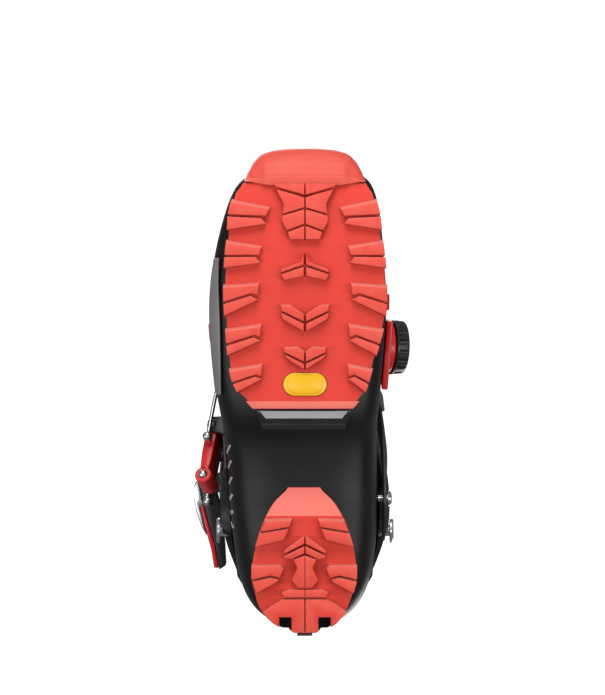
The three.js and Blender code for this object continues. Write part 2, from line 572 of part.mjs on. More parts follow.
const shellAtPivot = Math.abs(onLine(shell, [PIVOT_Y, PIVOT_Z, 1, 0, 12, 19], 90, 0, 0).x);
const cuffAtPivot = Math.abs(onLine(cuff, [PIVOT_Y, PIVOT_Z, 1, 0, 0, 5], 90, 0, 0).x);
for (const [side, s] of [['lateral', -1], ['medial', 1]]) {
  const at = (x) => V(s * x, PIVOT_Y, PIVOT_Z);
  let bolt = rod(at(shellAtPivot - SHELL_WALL), at(cuffAtPivot + 1), PIVOT_BOLT)
    .add(rod(at(cuffAtPivot + GAP), at(cuffAtPivot + 2.6), 8.2, 7, 28));
  bolt = bolt.subtract(rod(at(cuffAtPivot + 1), at(cuffAtPivot + 4), 2.6, 2.6, 6));
  add(`pivot_bolt_${side}`, bolt, 0xa9acb0, 0.3, 0.9);
}

// ---------------------------------------------------------------- buckles
// a frame has its pin at p, e1 towards the lever tail, e3 outwards, e2 along the pin
function hingeFrame(p, tail, out) {
  const e1 = tail.clone().sub(p).normalize();
  const e3 = out.clone().sub(e1.clone().multiplyScalar(out.dot(e1))).normalize();
  return { p, e1, e3, e2: e1.clone().cross(e3) };
}
const at = (f, s, h, w) =>
  f.p.clone().addScaledVector(f.e1, s).addScaledVector(f.e3, h).addScaledVector(f.e2, w);
const HW = LEVER_WIDTH / 2;
const EAR = [HW + SLIP, HW + SLIP + 1.8];
const BAIL_SIDE = EAR[1] + 3.2;      // the wires run outside the ears
const WIRE = 1.3;
const PIN = 1.5;
const PIN_GAP = 0.3;
const BAIL_PIN = 11;                 // along the lever from its hinge pin

function pin(f, s, reach) {
  return rod(at(f, s, 0, -reach), at(f, s, 0, reach), PIN)
    .add(rod(at(f, s, 0, -reach - 1.4), at(f, s, 0, -reach + 0.1), 1.7, 2.5, 16))
    .add(rod(at(f, s, 0, reach - 0.1), at(f, s, 0, reach + 1.4), 2.5, 1.7, 16));
}

function bail(f, route) {
  // route: points of one wire from the eye to the cross bar, then back along the other side
  const eye = (w) => rod(at(f, BAIL_PIN, 0, w - 1.3), at(f, BAIL_PIN, 0, w + 1.3), 3)
    .subtract(rod(at(f, BAIL_PIN, 0, w - 3), at(f, BAIL_PIN, 0, w + 3), PIN + PIN_GAP));
  const wire = tube([at(f, BAIL_PIN - 2.3, 0, BAIL_SIDE), ...route(BAIL_SIDE),
    ...route(-BAIL_SIDE).reverse(), at(f, BAIL_PIN - 2.3, 0, -BAIL_SIDE)], WIRE, 28, 6);
  const hole = rod(at(f, BAIL_PIN, 0, -30), at(f, BAIL_PIN, 0, 30), PIN + PIN_GAP);
  return wire.subtract(hole).add(eye(BAIL_SIDE)).add(eye(-BAIL_SIDE));
}

const pinHole = (f, s) => rod(at(f, s, 0, -40), at(f, s, 0, 40), PIN + PIN_GAP);

// cuff buckle, on the lateral side of the cuff
const CUFF_LINE = [Y(-38), Z(171), 1, 0, 1.5, 7];
const cf = hingeFrame(V(-X(55) - 12.5, Y(-38), Z(171)), V(-X(55) - 2, Y(18), Z(171)), V(-1, 0.2, 0));
let cuffBase = band(cuff, CUFF_LINE, -72, -101, 5, SEAT, 2.8, EAR[1]);
for (const s of [-1, 1]) {
  cuffBase = cuffBase.add(prismF(cf, [[-6, -11], [7, -11], [5, 1], [2, 3.2], [-2, 3.2], [-5, 1]],
    s > 0 ? EAR[0] : -EAR[1], s > 0 ? EAR[1] : -EAR[0]));
}
cuffBase = cuffBase.subtract(loft(cuff, levels(0, 9), CUFF_COLS, GAP)).subtract(pinHole(cf, 0));
add('cuff_buckle_base', cuffBase.decompose().sort((a, b) => b.volume() - a.volume())[0], 0x1d1e20, 0.45);
const leverBody = [
  [-5, -1], [-3, -4], [7, -7], [20, -7.6], [40, -6], [56, -4], [58, 1], [40, 0.6], [24, 2.4],
  [12, 3.2], [-2, 3.2], [-5, 1.4],
];
add('cuff_lever', prismF(cf, leverBody, -HW, HW).subtract(pinHole(cf, 0))
  .subtract(pinHole(cf, BAIL_PIN)), 0x1f2123, 0.4);
add('cuff_lever_plate', prismF(cf, [
  [14, 3.4], [24, 2.75], [40, 0.95], [57, 1.35], [56, 4.2], [44, 3.9], [30, 5], [14, 5.6],
], -HW + 0.6, HW - 0.6), 0xcf1f26, 0.35);
add('cuff_lever_cap', prismF(cf, [
  [-4, 3.5], [12, 3.5], [13.6, 3.4], [13.6, 6], [29, 5.4], [34, 5.1], [28, 7.4], [18, 9], [8, 9],
  [0, 7.6], [-4, 5.4],
], -HW + 1.5, HW - 1.5), 0x8c8f93, 0.25, 0.7);
add('cuff_lever_pin', pin(cf, 0, EAR[1] + GAP), 0xd0d2d4, 0.25, 0.95);
add('cuff_bail_pin', pin(cf, BAIL_PIN, BAIL_SIDE + 1.3 + GAP), 0xd0d2d4, 0.25, 0.95);
const cuffRoute = (w) => [-84, -70, -54, -36, -18, 0, 9].map((a, i) =>
  onLine(cuff, CUFF_LINE, a, i === 6 ? 7.2 : 7, w * (i === 6 ? 0.55 : 1))).concat(
  onLine(cuff, CUFF_LINE, 11.5, 7.2, w * 0.2));
add('cuff_bail', bail(cf, cuffRoute), 0xb9bcc0, 0.25, 0.95);
let ladder = band(cuff, CUFF_LINE, 2, 46, 8, SEAT, 2.8, 7);
for (const a of [14.5, 20, 25.5, 31]) {
  ladder = ladder.add(band(cuff, CUFF_LINE, a, a + 2.2, 2, 1, 5.4, 7));
}
add('cuff_ladder', ladder, 0x8f9296, 0.3, 0.9);

// instep buckle, on the lateral side of the lower shell
const INSTEP_LINE = [Y(-79), Z(90), 0.89, -0.456, 5.6, 16];
const pOn = onLine(shell, INSTEP_LINE, -78, 8.5, 0);
const nf = hingeFrame(V(pOn.x, pOn.y, pOn.z), V(pOn.x - 6, pOn.y + 32, pOn.z - 16.4),
  V(-1, 0, 0.25));
let instepBase = band(shell, INSTEP_LINE, -68, -92, 5, SEAT, 2.8, EAR[1]);
for (const s of [-1, 1]) {
  instepBase = instepBase.add(prismF(nf, [[-6, -9], [7, -9], [5, 1], [2, 3.2], [-2, 3.2], [-5, 1]],
    s > 0 ? EAR[0] : -EAR[1], s > 0 ? EAR[1] : -EAR[0]));
}
instepBase = instepBase.subtract(loft(shell, levels(0, SHELL_END), SHELL_COLS, GAP))
  .subtract(pinHole(nf, 0));
add('instep_buckle_base', instepBase.decompose().sort((a, b) => b.volume() - a.volume())[0], 0x34373a, 0.4);
const tailPin = 35;
let instepLever = prismF(nf, [
  [-5, -1], [-3, -3.2], [8, -3.6], [26, -3.4], [30, -3], [30, 3], [20, 3.6], [8, 3.8], [-2, 3.2],
  [-5, 1.4],
], -HW, HW).add(rod(at(nf, tailPin, 0, -HW), at(nf, tailPin, 0, HW), 5.4, 5.4, 24));
for (const s of [0, BAIL_PIN, tailPin]) instepLever = instepLever.subtract(pinHole(nf, s));
instepLever = instepLever.add(prismF(nf, [[29, -2.6], [32, -2.6], [32, 2.6], [29, 2.6]], -HW, HW));
add('instep_lever', instepLever, 0xdc1a1c, 0.35);
add('instep_lever_pin', pin(nf, 0, EAR[1] + GAP), 0xd0d2d4, 0.25, 0.95);
add('instep_bail_pin', pin(nf, BAIL_PIN, BAIL_SIDE + 1.3 + GAP), 0xd0d2d4, 0.25, 0.95);
add('instep_tail_pin', pin(nf, tailPin, HW + GAP), 0xd0d2d4, 0.25, 0.95);
const instepRoute = (w) => [-70, -60, -48, -34, -20].map((a, i) =>
  onLine(shell, INSTEP_LINE, a, i === 4 ? 8.6 : 8, w * (i === 4 ? 0.55 : 1))).concat(
  onLine(shell, INSTEP_LINE, -17, 8.6, w * 0.2));
add('instep_bail', bail(nf, instepRoute), 0xb9bcc0, 0.25, 0.95);

// instep strap from its anchor on the medial side
const STRAP = [SEAT + GAP + TONGUE_WALL + 0.6, SEAT + GAP + TONGUE_WALL + 2.8];
const ANCHOR = 93;                   // angle of the strap anchor on the medial side
const strapEnd = ANCHOR + 5.5;
let strap = band(shell, INSTEP_LINE, -26, strapEnd, 30, ...STRAP, 10);
for (const a of [-14, -8, -2]) {
  strap = strap.add(band(shell, INSTEP_LINE, a, a + 2.6, 2, STRAP[1] - 0.5, STRAP[1] + 1.2, 7));
}
const anchorAt = (h) => {
  const p = onLine(shell, INSTEP_LINE, ANCHOR, 0, 0);
  const n = V(1, 0, 0);
  return p.addScaledVector(n, h);
};
const anchorHole = rod(anchorAt(-6), anchorAt(20), 2 + SLIP);
strap = strap.subtract(anchorHole);
add('instep_strap', strap, 0x1b1c1e, 0.55);
add('strap_anchor_pin', rod(anchorAt(0.5), anchorAt(STRAP[1] + 1.2), 2).add(
  rod(anchorAt(STRAP[1] + 0.9), anchorAt(STRAP[1] + 3.2), 5, 3.6, 24)), 0xc9cbce, 0.25, 0.95);

// ---------------------------------------------------------------- power strap
const TOP_LINE = [Y(-60), Z(240), 0.985, 0.17, 4, 9];
const POWER = [SEAT, 3];
add('power_strap', band(cuff, TOP_LINE, -205, 138, 48, ...POWER, 18), 0x202224, 0.9);
add('power_strap_buckle', band(cuff, TOP_LINE, 36, 62, 6, POWER[1] + GAP, POWER[1] + 5, 20),
  0x2d3033, 0.4);
add('power_strap_tail', band(cuff, TOP_LINE, -60, 34, 14, POWER[1] + GAP, POWER[1] + 2.2, 17),
  0x1a1b1d, 0.9);

// ---------------------------------------------------------------- walk mechanism
const backFrame = (u, off) => {
  const p = cuff(u, 180, off);
  const q = cuff(u + 0.5, 180, off);
  return hingeFrame(p, q, V(0, 1, 0.2));
};
const wf = backFrame(3.35, 8.5);
const WALK = [55, 8];                // length and half width of the walk lever
let housing = patch(cuff, 3, 5.4, 172, 188, SEAT, 3.2, 4, 2);
for (const s of [-1, 1]) {
  housing = housing.add(prismF(wf, [[-6, -9], [8, -9], [5, 2], [2, 4], [-2, 4], [-5, 2]],
    s > 0 ? WALK[1] + SLIP : -WALK[1] - SLIP - 2, s > 0 ? WALK[1] + SLIP + 2 : -WALK[1] - SLIP));
}
housing = housing.add(prismF(wf, [[-6, -9], [8, -9], [8, -5.4], [-6, -5.4]], -WALK[1] - 2, WALK[1] + 2));
housing = housing.subtract(loft(cuff, levels(0, 9), CUFF_COLS, GAP)).subtract(pinHole(wf, 0));
add('walk_housing', housing, 0x3a3d40, 0.4);
add('walk_lever', prismF(wf, [
  [-4, -2.4], [-2, -4], [8, -4.2], [WALK[0] - 2, -4.6], [WALK[0], -3], [WALK[0], 0.5], [40, 2],
  [10, 4], [-2, 3.6], [-4, 2],
], -WALK[1], WALK[1]).subtract(pinHole(wf, 0)), 0xd41e24, 0.35);
add('walk_lever_pin', pin(wf, 0, WALK[1] + SLIP + 2 + GAP), 0xd0d2d4, 0.25, 0.95);
// lock bar below the lever, its tip over the lock plate of the lower shell
const barTip = cuff(1.75, 180, 3.2);
const bf = hingeFrame(cuff(2.92, 180, 3.2), barTip, V(0, 1, 0));
const barLen = bf.p.distanceTo(barTip);
add('lock_bar', prismF(bf, [[0, -1.6], [barLen, -1.6], [barLen + 3, 0], [barLen, 1.6], [0, 1.6]],
  -5, 5), 0xaeb1b5, 0.3, 0.9);
add('lock_plate', patch(shell, 15.3, 16.6, 169, 191, SEAT, 2.4, 4, 3), 0xaeb1b5, 0.3, 0.9);

// ---------------------------------------------------------------- inner boot
const sideFoot = [[-290, -20], [80, -20], [80, 126], [-60, 126], [-96, 134], [-290, 140]]
  .map(([y, z]) => [Y(y), Z(z)]);
const FOOT_OUT = -SHELL_WALL - 0.7;
let footLiner = loft(shell, levels(2, SHELL_END), SHELL_COLS, FOOT_OUT).intersect(prismX(sideFoot, -90, 90));
footLiner = footLiner.subtract(
  loft(shell, levels(2.35, SHELL_END + 0.5), SHELL_COLS, FOOT_OUT - FOOT_LINER));
add('liner_foot', footLiner, 0x3b3e42, 0.9);
const CUFF_OUT = -CUFF_WALL - SEAT - TONGUE_WALL - SEAT;
const sideLiner = [
  [-200, 166], [-100, 166], [-60, 151], [60, 151], [60, 303], [0, 305], [-40, 296], [-80, 282],
  [-200, 282],
].map(([y, z]) => [Y(y), Z(z)]);
let cuffLiner = loft(cuff, levels(0.5, 9), CUFF_COLS, CUFF_OUT)
  .subtract(loft(cuff, levels(0, 9.5), CUFF_COLS, CUFF_OUT - CUFF_LINER));
cuffLiner = cuffLiner.intersect(prismX(sideLiner, -90, 90))
  .subtract(patch(cuff, 0, 9, -27, 27, -20, 2, 6, 4));
add('liner_cuff', cuffLiner, 0x34373b, 0.9);
const tongueSide = [[-200, 158], [-60, 158], [-60, 318], [-200, 318]].map(([y, z]) => [Y(y), Z(z)]);
add('liner_tongue', patch(cuff, 2.6, 9, -25.6, 25.6, CUFF_OUT - CUFF_LINER, CUFF_OUT, 8, 6)
  .intersect(prismX(tongueSide, -90, 90)), 0x45494e, 0.9);
const loopAt = (a, off, dz) => cuff(8.3, a, off).add(V(0, 0, dz));
const LOOP_OUT = CUFF_OUT - CUFF_LINER - 3.2;
const loopPoints = [[170, -16], [170, 8], [180, 22], [190, 8], [190, -16]]
  .map(([a, dz]) => loopAt(a, LOOP_OUT, dz));
add('liner_pull_loop', tube(loopPoints, 1.6, 24, 8), 0xcc2229, 0.9);

// footbed on the floor of the inner boot
const BED_OUT = FOOT_OUT - FOOT_LINER - 0.5;
add('footbed', patch(shell, 2.6, 13, 142.5, 217.5, BED_OUT - 3, BED_OUT, 0, 5), 0x9a2a2c, 0.85);

export default group;
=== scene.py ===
# Right alpine touring ski boot: lugged soles, hinged cuff, lever buckles, lace dial and inner boot.
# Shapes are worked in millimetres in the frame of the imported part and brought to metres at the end.
import json
import math

import bmesh
import bpy
from mathutils import Matrix, Vector
from mathutils.bvhtree import BVHTree


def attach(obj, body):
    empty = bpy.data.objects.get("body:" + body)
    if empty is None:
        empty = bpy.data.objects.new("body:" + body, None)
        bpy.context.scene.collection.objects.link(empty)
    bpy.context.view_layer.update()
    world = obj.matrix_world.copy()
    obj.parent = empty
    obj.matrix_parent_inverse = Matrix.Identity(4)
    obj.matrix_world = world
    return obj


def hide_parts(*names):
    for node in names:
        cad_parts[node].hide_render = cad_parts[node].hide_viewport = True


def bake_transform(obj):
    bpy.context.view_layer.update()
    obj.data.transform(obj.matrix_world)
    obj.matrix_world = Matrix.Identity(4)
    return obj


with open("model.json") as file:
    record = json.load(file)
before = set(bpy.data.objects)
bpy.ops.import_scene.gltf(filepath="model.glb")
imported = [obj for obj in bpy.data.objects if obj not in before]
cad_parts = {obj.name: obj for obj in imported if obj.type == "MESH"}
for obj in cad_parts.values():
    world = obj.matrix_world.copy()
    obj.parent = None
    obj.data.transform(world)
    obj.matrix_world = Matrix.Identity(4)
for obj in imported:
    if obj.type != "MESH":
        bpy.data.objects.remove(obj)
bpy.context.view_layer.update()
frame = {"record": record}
MM = 0.001

# ---- sizes shared with the part
LUG_DEPTH = 5.0
LUG_ROOT = 0.8                          # how far a lug reaches into the sole
HEEL_LUG_DEPTH = 6.5
FRONT_SOLE_TOP = 12.5
HEEL_SOLE_TOP = 22.0
SHELL_WALL = 4.5
CUFF_WALL = 4.2
FOOT_LINER = 4.5
CUFF_LINER = 8.5
TONGUE_WALL = 2.2
LACE_RADIUS = 0.9
LEVER_WIDTH = 19.0
ROCKER_START = -170.0
ROCKER_RADIUS = 300.0
GAP = 0.3
SLIP = 0.4
SEAT = 0.8
FLAP_OUT = SEAT + GAP + TONGUE_WALL
FOOT_OUT = -SHELL_WALL - 0.7
CUFF_OUT = -CUFF_WALL - SEAT - TONGUE_WALL - SEAT
JOINTS = {joint["name"]: Vector(joint["pos_m"]) / MM for joint in frame["record"]["behaviour"]["joints"]}
PIVOT = JOINTS["cuff_hinge"]
WELD = 0.002                            # points closer than this become one

# front or top point, back or bottom point, lateral and medial half width, height share of the
# widest line, squareness above and below it
SHELL = [
    (-242, 46, -240, 23, 27, 27, 0.5, 2.3, 2.6), (-236, 56, -237, 20.5, 38, 38, 0.45, 2.3, 3),
    (-224, 63, -228, 18.6, 45.5, 44, 0.42, 2.3, 3.4), (-206, 69, -208, 15.4, 52, 47.5, 0.4, 2.3, 3.8),
    (-184, 75, -184, 13.2, 57, 49.5, 0.4, 2.3, 4), (-163, 83, -160, 12.8, 59.5, 51, 0.4, 2.3, 4),
    (-143, 92, -134, 12.8, 59, 50, 0.4, 2.3, 4), (-126, 102, -106, 12.9, 56.5, 48, 0.4, 2.3, 4),
    (-112, 113, -88, 14.5, 54, 46.5, 0.4, 2.3, 4), (-101, 124, -72, 19.5, 51.5, 45.5, 0.42, 2.3, 4),
    (-93, 134, -48, 22.3, 49.5, 45.5, 0.44, 2.4, 4), (-87, 142, -20, 22.3, 48, 46, 0.46, 2.4, 4),
    (-83, 148, 6, 22.3, 46.5, 46, 0.48, 2.4, 3.8), (-80, 153, 28, 23, 45, 45, 0.5, 2.4, 3.4),
    (-78, 157, 41, 32, 44, 44, 0.52, 2.4, 2.9), (-77, 160, 44, 52, 43.5, 43.5, 0.54, 2.4, 2.3),
    (-76, 163, 42, 78, 44, 44, 0.55, 2.4, 1.95), (-75, 166, 38, 102, 45, 45, 0.56, 2.4, 1.8),
    (-74, 170, 35, 128, 45, 45, 0.57, 2.4, 1.78), (-74, 176, 34, 150, 45, 45, 0.58, 2.4, 1.78),
]
CUFF = [
    (ty, tz, by, bz, w, w, m, 2.2, nb) for ty, tz, by, bz, w, m, nb in (
        (-104, 100, 51, 50, 54.5, 0.53, 1.95), (-105, 122, 51.5, 80, 55, 0.53, 1.95),
        (-107, 142, 51.5, 104, 55, 0.53, 1.95), (-109, 161, 47.5, 131, 55, 0.53, 2),
        (-112, 182, 38.5, 160, 55, 0.52, 2), (-116, 205, 28, 192, 55, 0.5, 2.1),
        (-120, 228, 18, 225, 55, 0.5, 2.2), (-125, 250, 9, 258, 55, 0.5, 2.3),
        (-130, 272, 3, 290, 55, 0.5, 2.3), (-136, 294, -4, 322, 55, 0.5, 2.3))
]
SHELL_END = len(SHELL) - 1
# plan edges of the soles: y, lateral x, medial x
FRONT_EDGE = [
    (-232.5, -39, 38.5), (-226, -43.5, 42.5), (-214, -47, 46), (-199, -48, 47.5),
    (-184, -49.4, 49.4), (-165, -50, 50.6), (-148, -49.2, 49.4), (-136, -48.2, 46.5),
    (-121, -47, 42.5), (-111, -45, 39.5), (-104, -41.5, 37.2), (-97, -35, 32), (-93.5, -31.5, 29),
]
HEEL_EDGE = [
    (-44.5, -11, 10), (-36, -19, 18), (-27.5, -24.4, 23.4), (-18, -28, 27), (-9, -30.6, 30),
    (2.4, -32.8, 31.8), (12, -33, 31.6), (20, -31, 29.6), (27, -29, 27), (32, -26, 24.5),
    (36, -22.5, 21), (40, -17, 16.5), (43.9, -7, 7),
]
# lateral half of each lug, at the ground; the medial half mirrors it
SIDE_LUGS = [
    [[(-48, -220), (-22, -215.5), (-24, -211.5), (-48, -212.5)],
     [(-48, -211), (-27, -210), (-24.5, -206.5), (-48, -203)]],
    [[(-50, -195), (-27, -191.5), (-28, -187.5), (-50, -187.5)],
     [(-50, -186), (-30.5, -186.3), (-28, -182.5), (-50, -179.5)]],
    [[(-50, -167.5), (-28.5, -168.8), (-29, -163), (-33, -164), (-50, -158.7)],
     [(-50, -157.2), (-33.5, -162.3), (-29, -160), (-50, -150)]],
    [[(-49, -140.7), (-27, -143.7), (-27.5, -137.5), (-31, -138.7), (-49, -133.2)],
     [(-49, -131.7), (-31.5, -137), (-27.5, -135), (-48, -126)]],
    [[(-47, -116.3), (-26.5, -119.3), (-26.7, -113.5), (-30, -114.5), (-46.5, -109.7)],
     [(-46, -108.2), (-30.5, -113), (-26.7, -111.5), (-42, -103.5)]],
]
CENTRE_LUGS = [
    [(-19.5, -231.5), (-0.4, -231.5), (-0.4, -224.5), (-18, -229.5)],
    [(-17.5, -227.8), (-0.4, -222.8), (-0.4, -216.8), (-13.6, -212.8), (-13, -219)],
    [(-14, -211.4), (-0.4, -215.4), (-0.4, -206.6), (-11, -202.6), (-14, -208)],
    [(-10.4, -201.4), (-0.4, -205.2), (-0.4, -197), (-9, -197)],
    [(-14.5, -178.7), (-3, -182.5), (-0.8, -188), (-0.8, -181.6), (-14.6, -176.8)],
    [(-14.6, -175.4), (-0.8, -180), (-0.8, -174.6), (-12.6, -172)],
    [(-14.5, -156.5), (-9, -156), (-0.8, -151.4), (-0.8, -147), (-14.5, -153.4)],
    [(-14.5, -152), (-0.8, -145.4), (-0.8, -140.8), (-13.6, -148.2)],
    [(-12.4, -130.4), (-5, -130.6), (-0.6, -128), (-0.6, -122.4), (-12.6, -128)],
    [(-12.4, -126.6), (-0.6, -120.8), (-0.6, -117.6), (-11.6, -124.6)],
]
HEEL_LUGS = [
    [(-24, -24.6), (-8.3, -25.4), (-9.6, -21.5), (-21, -19.5), (-27, -18.6)],
    [(-27.8, -17.2), (-21, -18.2), (-10, -20.2), (-13, -13.6), (-30.4, -9.2)],
    [(-32.6, 2.6), (-15.4, 2.6), (-13.4, 5), (-15.5, 9.4), (-21, 8.2), (-32.6, 10.6)],
    [(-32, 12.2), (-21, 9.8), (-16.4, 11), (-17.4, 12.4), (-29.6, 19)],
    [(-12.4, -7), (-0.4, -15.4), (-0.4, -11.2), (-12.8, -5)],
    [(-12.6, -3.6), (-0.4, -9.6), (-0.4, -5.4), (-8, -1.8), (-12.2, -2.4)],
]
HEEL_PLUG = [(-7, -1.5), (-0.15, -4), (-0.15, 15.5), (-4.4, 15.5), (-8, 11), (-4.6, 3.5)]
HEEL_PAD = [
    [(-14, 18.7), (-9.5, 16.9), (-0.15, 16.9), (-0.15, 21.4), (-13.2, 21.4)],
    [(-13.5, 22.8), (-0.3, 22.8), (-0.3, 43.2), (-8, 42.6), (-8, 33.6), (-16, 33.6), (-16, 39.6),
     (-19, 37.8), (-25.6, 31), (-21, 27.6)],
]
BADGE = (-108.5, 13.3, 7.0)             # centre y, half length across, half width
SLOT = (8.4, 15.6, 34.0)                # inner x, outer x and front of the binding slots
INSERT = (18.5, 33.2, 12.0)             # half width, front and underside of the heel insert
TOE_BAR = (-245.5, 25.0)                # y and z
BUMPER = [(8.6, 3.5, 0.98), (12, 7.5, 1), (17, 14, 1), (22, 19, 1), (27, 21.5, 1), (33, 22, 1),
          (39, 19.5, 0.96)]              # height, depth, width of its rings
BUMPER_PLAN = [(-37.5, 0.1), (-35.5, 0.32), (-32.5, 0.58), (-27.5, 0.82), (-20, 0.94), (-10, 0.99),
               (0, 1), (10, 0.99), (20, 0.94), (27.5, 0.82), (32.5, 0.58), (35.5, 0.32), (37.5, 0.1)]
SHELL_RIM = [(-290, 150), (-120, 150), (-96, 134), (-78, 126), (-60, 122), (80, 122)]
CUFF_HEM = [(-150, 162), (-104, 154), (-62, 131)] + [
    (PIVOT.y + 24 * math.cos(math.radians(205 + 13 * i)), PIVOT.z + 24 * math.sin(math.radians(205 + 13 * i)))
    for i in range(11)] + [(26, 103), (80, 103)]
CUFF_RIM = [(-150, 262), (-86, 256), (-52, 264), (-24, 284), (4, 290), (60, 288)]
LINER_RIM = [(-200, 282), (-80, 282), (-40, 296), (0, 305), (60, 303)]
CUFF_LINE = (-38, 171, 1, 0, 1.5, 7)
INSTEP_LINE = (-79, 90, 0.89, -0.456, 5.6, 16)
TOP_LINE = (-60, 240, 0.985, 0.17, 4, 9)
DIAL = (6.35, 74)
ANCHOR = 93


def rocker(y):
    return (ROCKER_START - y) ** 2 / (2 * ROCKER_RADIUS) if y < ROCKER_START else 0.0


def through(a, b, c, d, t):
    """Smooth run from b to c, between the neighbours a and d."""
    return 0.5 * (2 * b + (c - a) * t + (2 * a - 5 * b + 4 * c - d) * t * t
                  + (3 * b - a - 3 * c + d) * t ** 3)


def rounded(points, x, k=1):
    """Smooth value of column k of a table at x, through its rows."""
    i = 0
    while i < len(points) - 2 and x > points[i + 1][0]:
        i += 1
    p = [points[max(0, min(len(points) - 1, j))] for j in (i - 1, i, i + 1, i + 2)]
    t = (x - p[1][0]) / (p[2][0] - p[1][0])
    if t <= 0 or t >= 1:
        return p[1][k] + (p[2][k] - p[1][k]) * min(1, max(0, t))
    return through(*(q[k] for q in p), t)


def straight(points, x):
    for (x0, z0), (x1, z1) in zip(points, points[1:]):
        if x <= x1:
            return z0 + (z1 - z0) * max(0, (x - x0) / (x1 - x0))
    return points[-1][1]


def station(table, u):
    last = len(table) - 1
    i = max(0, min(last - 1, math.floor(u)))
    t = u - i
    b, c = table[i], table[i + 1]
    if t < 0 or t > 1:
        return [q if k > 3 else p + (q - p) * t for k, (p, q) in enumerate(zip(b, c))]
    a = table[i - 1] if i > 0 else [2 * p - q for p, q in zip(b, c)]
    d = table[i + 2] if i + 2 <= last else [2 * q - p for p, q in zip(b, c)]
    return [through(*values, t) for values in zip(a, b, c, d)]


def surface(table):
    """Point of a body at level u and an angle: 0 is top or front, 90 medial, 180 bottom or back."""
    def at(u, deg, off=0.0):
        ty, tz, by, bz, wl, wr, m, nt, nb = station(table, u)
        length = math.hypot(ty - by, tz - bz)
        dy, dz = (ty - by) / length, (tz - bz) / length
        full = length + 2 * off
        c, s = math.cos(math.radians(deg)), math.sin(math.radians(deg))
        e = 2 / (nt if c >= 0 else nb)
        w = (wl if s < 0 else wr) + off
        x = math.copysign(w * abs(s) ** e, s)
        h = (1 - m) * full * c ** e if c >= 0 else -m * full * abs(c) ** e
        h += m * full - off
        return Vector((x, by + dy * h, bz + dz * h))
    return at


shell = surface(SHELL)
cuff = surface(CUFF)


def level_at(surf, deg, off, side, low, high):
    """Level where a column of a surface crosses a side-view edge."""
    up = side(surf(high, deg, off)) > side(surf(low, deg, off))
    for _ in range(26):
        mid = (low + high) / 2
        if (side(surf(mid, deg, off)) > 0) == up:
            high = mid
        else:
            low = mid
    return (low + high) / 2


def on_line(surf, line, deg, off, t):
    """Point of a surface at an angle, on a straight side-view line moved sideways by t."""
    y0, z0, dy, dz, low, high = line
    u = level_at(surf, deg, off, lambda p: -(p.y - y0) * dz + (p.z - z0) * dy - t, low, high)
    return surf(u, deg, off)


def normal_at(surf, u, deg):
    along = surf(u + 0.05, deg) - surf(u - 0.05, deg)
    n = along.cross(surf(u, deg + 1) - surf(u, deg - 1)).normalized()
    return n if n.dot(surf(u, deg, 1) - surf(u, deg)) > 0 else -n


# ---- shaping
def outward(bm, weld=False):
    """Turns the faces outwards, after doubled points are merged."""
    if weld:
        bmesh.ops.remove_doubles(bm, verts=bm.verts, dist=WELD)
    bmesh.ops.recalc_face_normals(bm, faces=bm.faces)


def grown_points(grown):
    return [part for part in grown["geom"] if isinstance(part, bmesh.types.BMVert)]


def sheet(at, cols, rows, width, length):
    """Grid laid on at(s, t, lift), with its UV in millimetres, faces outwards."""
    bm = bmesh.new()
    bmesh.ops.create_grid(bm, x_segments=cols, y_segments=rows, size=0.5)
    uv = bm.loops.layers.uv.new("UVMap")
    for face in bm.faces:
        for loop in face.loops:
            loop[uv].uv = ((loop.vert.co.x + 0.5) * width, (loop.vert.co.y + 0.5) * length)
    bm.faces.ensure_lookup_table()
    probe = bm.faces[len(bm.faces) // 2 + cols // 3]
    c = probe.calc_center_median()
    out = at(c.x + 0.5, c.y + 0.5, 1) - at(c.x + 0.5, c.y + 0.5, 0)
    for v in bm.verts:
        v.co = at(v.co.x + 0.5, v.co.y + 0.5, 0)
    bmesh.ops.remove_doubles(bm, verts=bm.verts, dist=WELD)
    bm.normal_update()
    bm.faces.ensure_lookup_table()
    if probe.is_valid and probe.normal.dot(out) < 0:
        bmesh.ops.reverse_faces(bm, faces=bm.faces)
    return bm


def soften(bm, width, segments=2, angle=40):
    """Rounds every edge sharper than an angle."""
    bm.normal_update()
    edges = [e for e in bm.edges if len(e.link_faces) == 2 and e.calc_face_angle(0) > math.radians(angle)]
    if edges:
        bmesh.ops.bevel(bm, geom=edges, offset=width, segments=segments, profile=0.5, affect="EDGES",
                        clamp_overlap=True, material=-1)
    return bm


def thicken(bm, depth, rim=0.0, segments=2):
    """Gives an open sheet a wall on its inner side and rounds the rim."""
    bmesh.ops.solidify(bm, geom=bm.faces[:], thickness=depth)
    outward(bm)
    return soften(bm, rim, segments, 50) if rim else bm


def prism(outline, sweep, round_off=0.5, segments=2):
    """Solid between a flat outline and its copy moved by sweep, with rounded edges."""
    bm = bmesh.new()
    face = bm.faces.new([bm.verts.new(p) for p in outline])
    grown = grown_points(bmesh.ops.extrude_face_region(bm, geom=[face]))
    bmesh.ops.translate(bm, vec=sweep, verts=grown)
    outward(bm)
    return soften(bm, round_off, segments, 25) if round_off else bm


def turned(origin, axis, profile, segments=40):
    """Solid turned from a profile of (distance along the axis, radius)."""
    axis = axis.normalized()
    side = axis.orthogonal().normalized()
    bm = bmesh.new()
    verts = [bm.verts.new(origin + axis * d + side * r) for d, r in profile]
    edges = [bm.edges.new(pair) for pair in zip(verts, verts[1:])]
    bmesh.ops.spin(bm, geom=verts + edges, cent=origin, axis=axis, angle=2 * math.pi, steps=segments,
                   use_merge=True)
    outward(bm, weld=True)
    return bm


